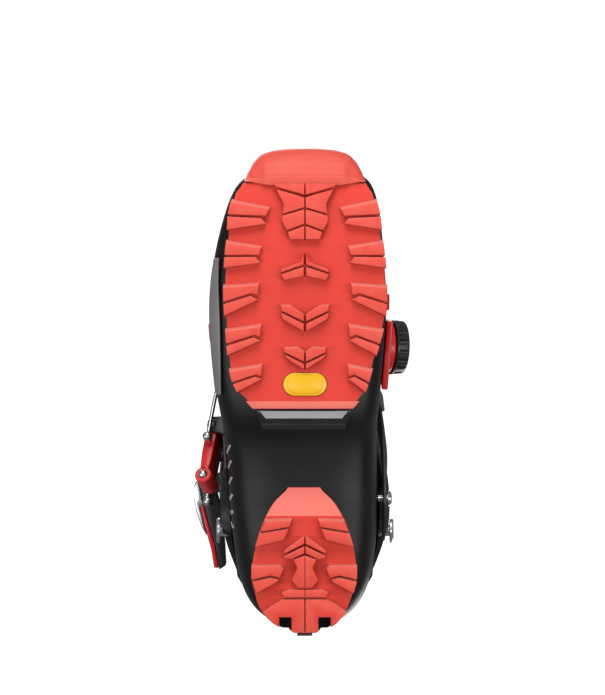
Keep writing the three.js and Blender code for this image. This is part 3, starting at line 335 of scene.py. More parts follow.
def flowing(points, steps):
    """Dense smooth run through points."""
    out = []
    for i in range(len(points) - 1):
        a, b, c, d = (points[max(0, min(len(points) - 1, i + k))] for k in (-1, 0, 1, 2))
        for j in range(steps):
            out.append(through(a, b, c, d, j / steps))
    return out + [points[-1]]


def wire(points, radius, sides=10):
    """Round wire along points, with capped ends."""
    curve = bpy.data.curves.new("wire", "CURVE")
    curve.dimensions = "3D"
    spline = curve.splines.new("POLY")
    spline.points.add(len(points) - 1)
    for p, q in zip(spline.points, points):
        p.co = (*q, 1)
    curve.bevel_depth = radius
    curve.bevel_resolution = max(1, sides // 2 - 2)
    curve.use_fill_caps = True
    obj = bpy.data.objects.new("wire", curve)
    bpy.context.collection.objects.link(obj)
    bpy.context.view_layer.update()
    mesh = bpy.data.meshes.new_from_object(obj.evaluated_get(bpy.context.evaluated_depsgraph_get()))
    bm = bmesh.new()
    bm.from_mesh(mesh)
    bpy.data.objects.remove(obj)
    bpy.data.curves.remove(curve)
    bpy.data.meshes.remove(mesh)
    outward(bm, weld=True)
    return bm


def eased(x):
    x = max(0.0, min(1.0, x))
    return x * x * (3 - 2 * x)


def lined(outer, inner, cols, rows, rim, width, length):
    """Closed wall between two open sheets outer(s, t) and inner(s, t), with rounded rims."""
    around = 2 * cols + 2
    bm = bmesh.new()
    bmesh.ops.create_grid(bm, x_segments=around, y_segments=rows, size=0.5)
    bm.verts.ensure_lookup_table()
    uv = bm.loops.layers.uv.new("UVMap")
    for face in bm.faces:
        for loop in face.loops:
            loop[uv].uv = ((loop.vert.co.x + 0.5) * 2 * width, (loop.vert.co.y + 0.5) * length)
    row = [[bm.verts[j * (around + 1) + i] for i in range(around + 1)] for j in range(rows + 1)]
    for j, verts in enumerate(row):
        for i, v in enumerate(verts):
            k = i % around
            v.co = outer(k / cols, j / rows) if k <= cols else inner((around - 1 - k) / cols, j / rows)
    for verts in (row[0], row[-1]):
        for i in range(cols):
            bm.faces.new((verts[i], verts[i + 1], verts[around - 2 - i], verts[around - 1 - i]))
    outward(bm, weld=True)
    return soften(bm, rim, 4, 55)


def pillow(at, depth, cols, rows, width, length, edge=0.08):
    """Closed pad of a depth under at(s, t, lift), thinning to nothing at its edges."""
    def full(x):
        return math.sqrt(1 - (1 - min(1, min(x, 1 - x) / edge)) ** 2)

    faces = [sheet(lambda s, t, lift, side=side: at(s, t, lift - depth / 2 * (1 - side * full(s) * full(t))),
                   cols, rows, width, length) for side in (1, -1)]
    bm = joined(*faces)
    outward(bm, weld=True)
    return bm


def tinted(bm, index):
    for face in bm.faces:
        face.material_index = index
    return bm


def joined(*parts):
    """One mesh of several closed ones."""
    out = bmesh.new()
    out.loops.layers.uv.new("UVMap")
    for bm in parts:
        mesh = bpy.data.meshes.new("part")
        bm.to_mesh(mesh)
        bm.free()
        out.from_mesh(mesh)
        bpy.data.meshes.remove(mesh)
    return out


def as_object(bm, name):
    mesh = bpy.data.meshes.new(name)
    bm.to_mesh(mesh)
    bm.free()
    obj = bpy.data.objects.new(name, mesh)
    bpy.context.collection.objects.link(obj)
    return obj


def carved(bm, cutter):
    """A solid with another taken away from it."""
    body, tool = as_object(bm, "body"), as_object(cutter, "tool")
    cut = body.modifiers.new("cut", "BOOLEAN")
    cut.operation, cut.object, cut.solver = "DIFFERENCE", tool, "EXACT"
    bpy.context.view_layer.update()
    mesh = bpy.data.meshes.new_from_object(body.evaluated_get(bpy.context.evaluated_depsgraph_get()))
    out = bmesh.new()
    out.from_mesh(mesh)
    for obj in (body, tool):
        data = obj.data
        bpy.data.objects.remove(obj)
        bpy.data.meshes.remove(data)
    bpy.data.meshes.remove(mesh)
    return out


def piece(name, bm, body, slot, finish, *nodes, sharp=35):
    """Makes a finished mesh a piece of the boot."""
    bmesh.ops.scale(bm, vec=(MM, MM, MM), verts=bm.verts)
    obj = as_object(bm, name)
    for material in finish if isinstance(finish, (list, tuple)) else [finish]:
        obj.data.materials.append(material)
    obj.data.polygons.foreach_set("use_smooth", [True] * len(obj.data.polygons))
    obj.data.set_sharp_from_angle(angle=math.radians(sharp))
    if body:
        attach(obj, body)
    if nodes:
        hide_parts(*nodes)
    return obj


# ---- finishes
def group(name, inputs, **outputs):
    """Empty node group with inputs by name and first value, and outputs by name and kind."""
    tree = bpy.data.node_groups.new(name, "ShaderNodeTree")
    for label, value in inputs.items():
        kind = "NodeSocketFloat" if isinstance(value, float) else "NodeSocketColor"
        tree.interface.new_socket(label, in_out="INPUT", socket_type=kind).default_value = value
    for label, kind in outputs.items():
        tree.interface.new_socket(label, in_out="OUTPUT", socket_type=f"NodeSocket{kind}")
    return tree, tree.nodes.new("NodeGroupInput"), tree.nodes.new("NodeGroupOutput")


def node(tree, kind, inputs=None, **settings):
    n = tree.nodes.new(kind)
    for key, value in settings.items():
        setattr(n, key, value)
    for key, value in (inputs or {}).items():
        if isinstance(value, bpy.types.NodeSocket):
            tree.links.new(value, n.inputs[key])
        else:
            n.inputs[key].default_value = value
    return n


def calc(tree, operation, a, b=0.0, clamp=False):
    return node(tree, "ShaderNodeMath", {0: a, 1: b}, operation=operation, use_clamp=clamp).outputs[0]


def placed(tree, shared, **inputs):
    """One of the shared node groups, with this material's values."""
    return node(tree, "ShaderNodeGroup", inputs, node_tree=shared)


def make_mottle():
    """Slow and fine colour change of a moulded surface."""
    tree, i, o = group("Mottle", {"Color": (0.5, 0.5, 0.5, 1), "Amount": 0.1, "Scale": 40.0},
                       Color="Color", Mask="Float")
    at = node(tree, "ShaderNodeTexCoord").outputs["Object"]
    slow = node(tree, "ShaderNodeTexNoise", {"Vector": at, "Scale": i.outputs["Scale"], "Detail": 4.0})
    fine = node(tree, "ShaderNodeTexNoise", {"Vector": at, "Scale": 900.0, "Detail": 2.0})
    both = calc(tree, "ADD", calc(tree, "MULTIPLY", slow.outputs["Fac"], 0.7),
                     calc(tree, "MULTIPLY", fine.outputs["Fac"], 0.3))
    shift = calc(tree, "MULTIPLY", calc(tree, "SUBTRACT", both, 0.5), i.outputs["Amount"])
    value = calc(tree, "ADD", calc(tree, "MULTIPLY", shift, 4.0), 1.0)
    hsv = node(tree, "ShaderNodeHueSaturation", {"Color": i.outputs["Color"], "Value": value})
    tree.links.new(hsv.outputs[0], o.inputs["Color"])
    tree.links.new(both, o.inputs["Mask"])
    return tree


def make_wear_and_hollow_shade():
    """Mask of rubbed outer edges, and mask of closed corners where shade is painted."""
    tree, i, o = group("Edge wear and hollow shade", {"Spread": 0.06, "Breakup": 180.0}, Worn="Float", Hollow="Float")
    point = node(tree, "ShaderNodeNewGeometry").outputs["Pointiness"]
    at = node(tree, "ShaderNodeTexCoord").outputs["Object"]
    patch = node(tree, "ShaderNodeTexNoise", {"Vector": at, "Scale": i.outputs["Breakup"], "Detail": 3.0})
    rise = calc(tree, "DIVIDE", calc(tree, "SUBTRACT", point, 0.51), i.outputs["Spread"], clamp=True)
    hollow_shade_mask = calc(tree, "DIVIDE", calc(tree, "SUBTRACT", 0.49, point), i.outputs["Spread"], clamp=True)
    ragged = calc(tree, "MULTIPLY", rise, calc(tree, "MULTIPLY", patch.outputs["Fac"], 1.6), clamp=True)
    tree.links.new(ragged, o.inputs["Worn"])
    tree.links.new(hollow_shade_mask, o.inputs["Hollow"])
    return tree


def make_grain():
    """Fine moulded grain as a normal."""
    tree, i, o = group("Grain", {"Scale": 1500.0, "Strength": 0.2, "Depth": 0.0001}, Normal="Vector")
    at = node(tree, "ShaderNodeTexCoord").outputs["Object"]
    cells = node(tree, "ShaderNodeTexVoronoi", {"Vector": at, "Scale": i.outputs["Scale"]},
                 feature="SMOOTH_F1")
    cloud = node(tree, "ShaderNodeTexNoise", {"Vector": at, "Scale": 260.0, "Detail": 5.0})
    height = calc(tree, "ADD", cells.outputs["Distance"], calc(tree, "MULTIPLY", cloud.outputs["Fac"], 0.8))
    bump = node(tree, "ShaderNodeBump", {"Height": height, "Strength": i.outputs["Strength"],
                                         "Distance": i.outputs["Depth"]})
    tree.links.new(bump.outputs[0], o.inputs["Normal"])
    return tree


def make_weave():
    """Crossed threads on a piece's own UV, which is in millimetres."""
    tree, i, o = group("Weave", {"Threads": 1.2}, Height="Float", Thread="Float")
    uv = node(tree, "ShaderNodeTexCoord").outputs["UV"]
    split = node(tree, "ShaderNodeSeparateXYZ", {"Vector": uv})
    turns = calc(tree, "MULTIPLY", i.outputs["Threads"], 2 * math.pi)
    across = calc(tree, "SINE", calc(tree, "MULTIPLY", split.outputs[0], turns))
    along = calc(tree, "SINE", calc(tree, "MULTIPLY", split.outputs[1], turns))
    cross = calc(tree, "MULTIPLY", across, along)
    height = calc(tree, "ADD", calc(tree, "MULTIPLY", cross, 0.5), 0.5)
    thread = calc(tree, "ADD", calc(tree, "MULTIPLY", calc(tree, "ABSOLUTE", across), 0.5),
                       calc(tree, "MULTIPLY", calc(tree, "ABSOLUTE", along), 0.5))
    tree.links.new(height, o.inputs["Height"])
    tree.links.new(thread, o.inputs["Thread"])
    return tree


MOTTLE, WEAR_AND_HOLLOW_SHADE, GRAIN, WEAVE = make_mottle(), make_wear_and_hollow_shade(), make_grain(), make_weave()


def srgb(r, g, b):
    return tuple(((c / 255 + 0.055) / 1.055) ** 2.4 if c > 10 else c / 255 / 12.92 for c in (r, g, b)) + (1,)


def blank(name):
    material = bpy.data.materials.new(name)
    material.use_nodes = True
    tree = material.node_tree
    shader = next(n for n in tree.nodes if n.type == "BSDF_PRINCIPLED")
    return material, tree, shader


def mixed(tree, share, first, second):
    return node(tree, "ShaderNodeMix", {0: share, 6: first, 7: second}, data_type="RGBA").outputs[2]


def ranged(tree, value, low, high, to):
    """A mask's middle stretched between two values."""
    return node(tree, "ShaderNodeMapRange", {"Value": value, "From Min": low, "From Max": high,
                                             "To Min": to[0], "To Max": to[1]}).outputs[0]


def finished(material, colour, gloss, normal, **values):
    """Links a material's colour, roughness and normal and sets its other inputs."""
    tree = material.node_tree
    inputs = next(n for n in tree.nodes if n.type == "BSDF_PRINCIPLED").inputs
    for key, socket in (("Base Color", colour), ("Roughness", gloss), ("Normal", normal)):
        tree.links.new(socket, inputs[key])
    for key, value in values.items():
        inputs[key.replace("_", " ")].default_value = value
    return material


def moulded(name, colour, worn, rough=(0.35, 0.5), amount=0.06, grain=(1500.0, 0.25, 0.00012), wear=0.6,
            hollow_shade=None, coat=0.0, coat_rough=0.1, specular=0.5):
    """Moulded plastic or rubber: colour change, rubbed edges, painted shade in closed corners where a hollow
    colour is given, uneven gloss and fine grain.
    """
    material, tree, _ = blank(name)
    base = placed(tree, MOTTLE, Color=srgb(*colour), Amount=amount, Scale=45.0).outputs
    edges = placed(tree, WEAR_AND_HOLLOW_SHADE).outputs
    seen = mixed(tree, calc(tree, "MULTIPLY", edges["Worn"], wear), base["Color"], srgb(*worn))
    # painted shade: closed corners and grooves darkened towards the hollow colour
    if hollow_shade:
        seen = mixed(tree, calc(tree, "MULTIPLY", edges["Hollow"], 0.7), seen, srgb(*hollow_shade))
    bump = placed(tree, GRAIN, Scale=grain[0], Strength=grain[1], Depth=grain[2])
    return finished(material, seen, ranged(tree, base["Mask"], 0.35, 0.65, rough), bump.outputs["Normal"],
                    Specular_IOR_Level=specular, Metallic=0.0, Coat_Weight=coat, Coat_Roughness=coat_rough)


def woven(name, colour, thread, threads=1.2, depth=0.00025, sheen=0.3, rough=0.85):
    """Woven webbing or cloth on the piece's own UV."""
    material, tree, _ = blank(name)
    cloth = placed(tree, WEAVE, Threads=threads).outputs
    base = placed(tree, MOTTLE, Color=srgb(*colour), Amount=0.1, Scale=60.0).outputs
    bump = node(tree, "ShaderNodeBump", {"Height": cloth["Height"], "Strength": 0.7, "Distance": depth})
    return finished(material, mixed(tree, cloth["Thread"], base["Color"], srgb(*thread)),
                    ranged(tree, base["Mask"], 0.35, 0.65, (rough - 0.08, rough + 0.06)), bump.outputs[0],
                    Sheen_Weight=sheen, Sheen_Roughness=0.5)


def brushed(name, colour, rough=(0.24, 0.36)):
    """Drawn or brushed metal with fine lines and handling marks."""
    material, tree, _ = blank(name)
    at = node(tree, "ShaderNodeTexCoord").outputs["Object"]
    lines = node(tree, "ShaderNodeMapping", {"Vector": at, "Scale": (40.0, 260.0, 260.0)}).outputs[0]
    streak = node(tree, "ShaderNodeTexNoise", {"Vector": lines, "Scale": 1.0, "Detail": 3.0}).outputs["Fac"]
    base = placed(tree, MOTTLE, Color=srgb(*colour), Amount=0.07, Scale=120.0)
    bump = node(tree, "ShaderNodeBump", {"Height": streak, "Strength": 0.03, "Distance": 0.00005})
    return finished(material, base.outputs["Color"], ranged(tree, streak, 0.3, 0.7, rough), bump.outputs[0],
                    Metallic=1.0)


# The hollow colours below are painted shade for closed corners and grooves.
red_rubber = moulded("Red tread rubber", (226, 62, 48), (240, 120, 104), (0.55, 0.7), 0.035,
                     (1100.0, 0.3, 0.00012), wear=0.35, hollow_shade=(176, 22, 20), specular=0.35)
toe_rubber = moulded("Smooth toe rubber", (224, 82, 66), (244, 140, 120), (0.42, 0.55), 0.03,
                     (1300.0, 0.2, 0.0001), wear=0.25, hollow_shade=(190, 30, 26), specular=0.4)
# lighter copy of the red rubber for faces turned to the toe-side light: painted highlight
painted_lit_rubber = moulded("Red rubber, painted highlight", (236, 112, 98), (246, 150, 136), (0.5, 0.62), 0.03,
                      (1100.0, 0.25, 0.0001), wear=0.3, hollow_shade=(200, 44, 38), specular=0.4)
badge_yellow = moulded("Yellow badge plastic", (246, 184, 0), (255, 206, 30), (0.3, 0.42),
                       hollow_shade=(200, 120, 0))
black_shell = moulded("Black shell plastic", (14, 15, 17), (52, 54, 57), (0.36, 0.46), 0.12,
                      (1400.0, 0.2, 0.0001), wear=0.2, specular=0.3)
black_cuff = moulded("Black cuff plastic", (26, 28, 30), (66, 69, 72), (0.44, 0.56), 0.12,
                     (1300.0, 0.3, 0.00012), wear=0.25, specular=0.4)
black_hard = moulded("Black buckle plastic", (16, 17, 19), (62, 64, 67), (0.3, 0.42), 0.1,
                     (1800.0, 0.2, 0.00008), wear=0.4)
glossy_black = moulded("Glossy black plate", (16, 17, 19), (60, 62, 64), (0.12, 0.2), 0.1,
                       (500.0, 0.06, 0.0001), wear=0.2, coat=0.8, coat_rough=0.04)
grey_band = moulded("Grey satin plastic", (124, 121, 122), (160, 158, 158), (0.32, 0.42), wear=0.4)
silver_paint = moulded("Silver paint", (176, 179, 182), (205, 207, 209), amount=0.08, wear=0.3)
red_plastic = moulded("Red hardware plastic", (214, 14, 20), (238, 90, 84), (0.24, 0.36), 0.05,
                      (1500.0, 0.15, 0.00008), wear=0.35, hollow_shade=(120, 4, 8))
strap_plastic = moulded("Strap plastic", (28, 29, 31), (66, 68, 71), (0.36, 0.48), 0.1)
steel = brushed("Brushed steel", (198, 200, 203))
dark_steel = brushed("Dark anodised metal", (34, 35, 38), rough=(0.32, 0.46))
webbing = woven("Black webbing", (24, 25, 27), (52, 54, 57), threads=0.5, depth=0.0004)
liner_cloth = woven("Inner boot cloth", (58, 61, 66), (84, 88, 94), threads=0.55, sheen=0.4)
tongue_cloth = woven("Tongue cloth", (70, 74, 80), (98, 103, 110), threads=0.55, sheen=0.4)
red_cloth = woven("Red cloth", (176, 26, 34), (206, 62, 66), threads=0.6, sheen=0.35)
lace_cord = woven("Braided lace", (26, 27, 29), (66, 68, 70), threads=0.9, depth=0.0002, rough=0.6)
# material slot and finish of the commonest pieces
STEEL = ("steel", steel)
RED = ("red_plastic", red_plastic)
BLACK = ("black_plastic", black_hard)
CUFF_BLACK = ("black_plastic", black_cuff)


# ---- lower shell
def throat(u):
    """Half angle of the opening over the instep."""
    if u < 4.5:
        return 0.0
    return (24 + 6 * min(1, (u - 4.7) / 14)) * math.sqrt(min(1, (u - 4.5) / 0.5))


def shell_wall():
    def rim_level(deg):
        return level_at(shell, deg, 0, lambda p: p.z - straight(SHELL_RIM, p.y), 6, SHELL_END)

    rims = {}

    def at(s, t, lift):
        deg = 360 * s
        key = round(s, 5)
        if key not in rims:
            rims[key] = rim_level(min(max(deg, 28), 332))
        u = t * rims[key]
        th = throat(u)
        return shell(u, th + s * (360 - 2 * th), lift)

    bm = sheet(at, 132, 104, 300, 400)
    # rounded nose ahead of the first section
    ring = [e for e in bm.edges if e.is_boundary and all(v.co.y < -238 for v in e.verts)]
    centre = shell(0, 0).lerp(shell(0, 180), 0.5)
    last = 1.0
    for scale, ahead in ((0.97, 1.2), (0.88, 1.6), (0.7, 1.4), (0.4, 0.9)):
        grown = bmesh.ops.extrude_edge_only(bm, edges=ring)
        verts = grown_points(grown)
        ring = [part for part in grown["geom"] if isinstance(part, bmesh.types.BMEdge)
                and all(v in set(verts) for v in part.verts) and part.is_boundary]
        now = sum((v.co for v in verts), Vector()) / len(verts)
        for v in verts:
            v.co = centre + (v.co - now) * (scale / last) + Vector((0, now.y - centre.y - ahead, 0))
        last = scale
    bmesh.ops.edgeloop_fill(bm, edges=ring)
    return thicken(bm, SHELL_WALL, 0.8)


bm = shell_wall()
shell_tree = BVHTree.FromBMesh(bm)
piece("lower_shell_wall", bm, "lower", "black_plastic", black_shell, "lower_shell")


def under_shell(x, y, top):
    """Height of the shell's underside over a point, where it is near a sole's top."""
    hit = shell_tree.ray_cast(Vector((x, y, -20)), Vector((0, 0, 1)), 80)[0]
    return max(top, min(hit.z + 0.6, top + 9)) if hit else top


# ---- soles
def sole_slab(edge, low, top, inset, cols, rows, round_off):
    y0, y1 = edge[0][0], edge[-1][0]

    def at(s, t, lift):
        y = y0 + (y1 - y0) * t
        left, right = rounded(edge, y, 1) + inset, rounded(edge, y, 2) - inset
        return Vector((left + (right - left) * s, y, low(y) - lift))

    bm = sheet(at, cols, rows, 100, 150)
    for v in grown_points(bmesh.ops.extrude_face_region(bm, geom=bm.faces[:], use_keep_orig=True)):
        v.co.z = under_shell(v.co.x, v.co.y, top(v.co.y))
    outward(bm)
    return soften(bm, round_off, 3, 50)


def lug(outline, depth, lift, edge, draft, lead=0.0):
    """A block of tread: wider at its root, with a sloped leading side and soft edges at the ground."""
    cx = sum(p[0] for p in outline) / len(outline)
    cy = sum(p[1] for p in outline) / len(outline)
    bm = bmesh.new()
    face = bm.faces.new([bm.verts.new((x, y, 0)) for x, y in outline])
    for v in grown_points(bmesh.ops.extrude_face_region(bm, geom=[face])):
        k = 1 + draft / math.hypot(v.co.x - cx, v.co.y - cy)
        y = cy + (v.co.y - cy) * k - (lead if v.co.y < cy else 0)
        v.co = Vector((cx + (v.co.x - cx) * k, y, depth + LUG_ROOT))
    outward(bm)
    bm.normal_update()
    edges = [e for e in bm.edges if any(v.co.z < 0.1 for v in e.verts)]
    bmesh.ops.bevel(bm, geom=edges, offset=0.45, segments=2, profile=0.5, affect="EDGES",
                    clamp_overlap=True, material=-1)
    bm.normal_update()
    # sides turned to the toe take the lighter rubber: painted highlight from the light at the toe side
    for face in bm.faces:
        face.material_index = 1 if face.normal.y < -0.45 else 0
    for v in bm.verts:
        v.co.x = max(min(v.co.x, rounded(edge, v.co.y, 2)), rounded(edge, v.co.y, 1))
        v.co.z += lift(v.co.y)
    return bm


def mirrored(outline):
    return [(-x, y) for x, y in outline]


def both_sides(outlines, *args):
    return [lug(shape, *args) for o in outlines for shape in (o, mirrored(o))]


def badge_outline(grow, share=1.0):
    """Long badge with round ends, grown by a gap or drawn at a share of its size."""
    middle, half_length, half_width = BADGE
    radius = half_width + grow
    turns = [-math.pi / 2 + math.pi * i / 16 for i in range(17)]
    end = [(half_length - half_width + radius * math.cos(a), radius * math.sin(a)) for a in turns]
    return [(x * share, middle + y * share) for x, y in end + [(-x, -y) for x, y in end]]


front = sole_slab(FRONT_EDGE, lambda y: rocker(y) + LUG_DEPTH, lambda y: rocker(y) + FRONT_SOLE_TOP,
                  1.1, 36, 96, 1.3)
front_lugs = []
for pair in SIDE_LUGS:
    front_lugs += both_sides(pair[:1], LUG_DEPTH, rocker, FRONT_EDGE, 1, 1.9)
    front_lugs += both_sides(pair[1:], LUG_DEPTH, rocker, FRONT_EDGE, 1, 0.2)
front_lugs += both_sides(CENTRE_LUGS[:4], LUG_DEPTH, rocker, FRONT_EDGE, 0.5, 0.2)
front_lugs += both_sides(CENTRE_LUGS[4:], LUG_DEPTH, rocker, FRONT_EDGE, 0.8, 0.8)
well = prism([Vector((x, y, -1)) for x, y in badge_outline(0.35)], Vector((0, 0, LUG_DEPTH + 2)), 0)
# lighter rubber strip along the rear edge of the front sole: painted highlight on the bevel
BEVEL = [(-36.5, -98.2), (33.5, -98.2), (29.5, -93.4), (-32, -93.4)]
bevel = prism([Vector((x, y, LUG_DEPTH - 0.2)) for x, y in BEVEL], Vector((0, 0, 2)), 0.6, 3)
front_sole = joined(carved(front, well), tinted(bevel, 1), *front_lugs)
piece("front_outsole_tread", front_sole, "lower", "red_rubber", [red_rubber, painted_lit_rubber],
      "front_outsole", sharp=30)

plate = prism([Vector((x, y, LUG_DEPTH + 0.7)) for x, y in badge_outline(0)], Vector((0, 0, -1.7)), 0.35, 2)
raised = prism([Vector((x, y, LUG_DEPTH - 1.0)) for x, y in badge_outline(0, 0.8)],
               Vector((0, 0, -0.45)), 0.15, 2)
piece("sole_badge_plate", joined(plate, raised), "lower", "yellow_plastic", badge_yellow, "sole_badge")


def heel_low(y):
    return HEEL_LUG_DEPTH + max(0.0, (-28 - y) * 0.8)


def flat(y):
    return 0.0


def slot_cutters(inset, front, low, depth):
    """Blocks that open both binding slots to the rear."""
    inner, outer, rear = SLOT[0] + inset, SLOT[1] - inset, 60
    corners = [(inner, front), (outer, front), (outer, rear), (inner, rear)]
    return joined(*[prism([Vector((s * x, y, low)) for x, y in corners], Vector((0, 0, depth)), 0)
                    for s in (-1, 1)])


heel_lugs = []
for outlines, draft, lead in ((HEEL_LUGS[:1], 0.8, 1.2), (HEEL_LUGS[1:4], 0.8, 0.6),
                              (HEEL_LUGS[4:], 0.6, 0.3), ([HEEL_PLUG] + HEEL_PAD, 0.2, 0)):
    heel_lugs += both_sides(outlines, HEEL_LUG_DEPTH, flat, HEEL_EDGE, draft, lead)
heel = sole_slab(HEEL_EDGE, heel_low, lambda y: HEEL_SOLE_TOP, 0.5, 30, 80, 0.9)
heel = carved(heel, slot_cutters(0, SLOT[2], -1, 20))
heel.normal_update()
# breast faces turned to the toe take the lighter rubber: painted highlight
for face in heel.faces:
    face.material_index = 1 if face.normal.y < -0.4 and face.calc_center_median().y < -27.5 else 0
piece("heel_outsole_tread", joined(heel, *heel_lugs), "lower", "red_rubber", [red_rubber, painted_lit_rubber],
      "heel_outsole", sharp=30)

plate = prism([Vector((x, y, INSERT[2])) for x, y in (
    (-INSERT[0], INSERT[1]), (INSERT[0], INSERT[1]), (INSERT[0] - 1, 38), (14, 42), (-14, 42),
    (-INSERT[0] + 1, 38))], Vector((0, 0, HEEL_SOLE_TOP - INSERT[2])), 0.6)
piece("heel_insert_plate", carved(plate, slot_cutters(1, SLOT[2] + 1.5, 0, 18.5)), "lower", "steel",
      dark_steel, "heel_insert")
piece("heel_insert_bolt", turned(Vector((0, 37, 17)), Vector((0, 1, 0)), [
    (0, 0), (0, 1.6), (5.3, 1.6), (5.3, 3.4), (6.2, 3.3), (6.8, 2.6), (6.8, 1.2), (5.9, 1.2), (5.9, 0)]),
    "lower", *STEEL, "heel_insert_screw")


# ---- toe bumper
def bumper_cap():
    heights = [r[0] for r in BUMPER]
    back = -232.8

    def at(s, t, lift):
        x = -37.5 + 75 * s
        share = rounded(BUMPER_PLAN, x, 1)
        z = heights[0] + (heights[-1] - heights[0]) * t
        depth = rounded(BUMPER, z, 1) + lift
        width = rounded(BUMPER, z, 2)
        facet = 1.6 * eased((abs(x) - 24) / 5) * eased((20 - z) / 9)
        return Vector((x * width, back - share * depth, z + facet))

    bm = sheet(at, 72, 40, 80, 50)
    # underside lip and top, back to the shell
    for low in (True, False):
        z_edge = heights[0] if low else heights[-1]
        ring = [e for e in bm.edges if e.is_boundary and abs(e.verts[0].co.x - e.verts[1].co.x) > 0.3
                and all(abs(v.co.z - z_edge) < 2 for v in e.verts)]
        for v in grown_points(bmesh.ops.extrude_edge_only(bm, edges=ring)):
            bulge = 3.6 * max(0.0, 1 - (v.co.x / 34) ** 2)
            v.co.y = back + (bulge if low else 6)
            v.co.z += -0.3 if low else 1.0
    ring = [e for e in bm.edges if e.is_boundary and all(
        v.co.z < 12 and v.co.y > back - 0.05 for v in e.verts)]
    for v in grown_points(bmesh.ops.extrude_edge_only(bm, edges=ring)):
        v.co.z += 5
    bmesh.ops.holes_fill(bm, edges=[e for e in bm.edges if e.is_boundary], sides=0)
    bmesh.ops.triangulate(bm, faces=[f for f in bm.faces if len(f.verts) > 4])
    outward(bm)
    return soften(bm, 0.5, 2, 50)


piece("toe_bumper_cap", bumper_cap(), "lower", "light_red_rubber", toe_rubber, "toe_bumper", sharp=40)
ends = 26.0
bar = turned(Vector((-ends, *TOE_BAR)), Vector((1, 0, 0)), [
    (4, 0), (4, 0.4), (0, 3.2), (0, 3.9), (0.4, 4.3), (2 * ends - 0.4, 4.3), (2 * ends, 3.9), (2 * ends, 3.2),
    (2 * ends - 4, 0.4), (2 * ends - 4, 0)])
piece("toe_insert_bar", bar, "lower", *STEEL, "toe_insert")

# ---- arch plate
ARCH_FRONT = -92.6
ARCH_WINDOW = [(-30, ARCH_FRONT), (28.5, ARCH_FRONT), (24.5, -80.5), (-26, -80.5)]


def arch_height(y):
    return 10.2 + (y - ARCH_FRONT) * 0.16


def arch_strip(width, start, length, proud, depth):
    """Raised strip across the arch plate, at a share of its width and of its length."""
    outline = []
    for x, y in ARCH_WINDOW:
        y = start + (y - ARCH_FRONT) * length
        outline.append(Vector((x * width, y, arch_height(y) - proud)))
    return prism(outline, Vector((0, 0, depth)), 0.25, 3)


plate = prism([Vector((x, y, arch_height(y))) for x, y in ARCH_WINDOW], Vector((0, 0, 1.6)), 0.6, 3)
step = arch_strip(0.93, -92, 0.38, 0.4, 0.9)
lip = arch_strip(0.9, -84, 0.22, 0.3, 0.6)
piece("arch_plate", joined(plate, tinted(step, 1), lip), "lower", "glossy_black",
      [glossy_black, silver_paint], "arch_window")


# ---- trim on the shell
def patch(surf, u0, u1, a0, a1, off, cols, rows, width, length):
    low = a0 if callable(a0) else (lambda t: a0)
    high = a1 if callable(a1) else (lambda t: a1)
    return sheet(lambda s, t, lift: surf(u0 + (u1 - u0) * t, low(t) + (high(t) - low(t)) * s, off + lift),
                 cols, rows, width, length)


def flap_half(t):
    tip = math.sqrt(min(1, max(0.0, t) / 0.06)) if t < 0.06 else 1
    end = math.sqrt(max(0.0, min(1, (1 - t) / 0.05)))
    return (34 + 7 * min(1, t * 2)) * (0.82 + 0.18 * min(tip, end))


flap = patch(shell, 4, 10, lambda t: -flap_half(t), flap_half, FLAP_OUT, 36, 48, 110, 130)
piece("instep_flap_cover", thicken(flap, TONGUE_WALL, 0.6), "lower", *CUFF_BLACK, "instep_flap")
band_part = patch(shell, 3.9, 7.3, lambda t: -124 - 9 * math.sin(math.pi * t), -112, 2.2, 10, 48, 14, 80)
piece("side_band", thicken(band_part, 1.5, 0.4), "lower", "grey_plastic", grey_band, "side_panel")
strokes = []
for k in range(6):
    start = 9.25 + 0.45 * k
    low = -126 + 1.5 * k
    stroke = patch(shell, start, start + 0.34, lambda t: low + 13 * t, lambda t: low + 4 + 13 * t, 0.35,
                   4, 12, 4, 10)
    strokes.append(thicken(stroke, 0.7, 0.15))
piece("side_strokes", joined(*strokes), "lower", "grey_plastic", silver_paint)


# ---- pieces along a line of a surface
def strip(surf, line, a0, a1, off, depth, half, cols=48, rows=6, round_off=0.5):
    """Strap lying along a line of a surface, its outer face at off."""
    length = sum((on_line(surf, line, a0 + (a1 - a0) * (i + 1) / 24, off, 0)
                  - on_line(surf, line, a0 + (a1 - a0) * i / 24, off, 0)).length for i in range(24))

    def at(s, t, lift):
        return on_line(surf, line, a0 + (a1 - a0) * s, off + lift, -half + 2 * half * t)

    return thicken(sheet(at, cols, rows, length, 2 * half), depth, round_off)


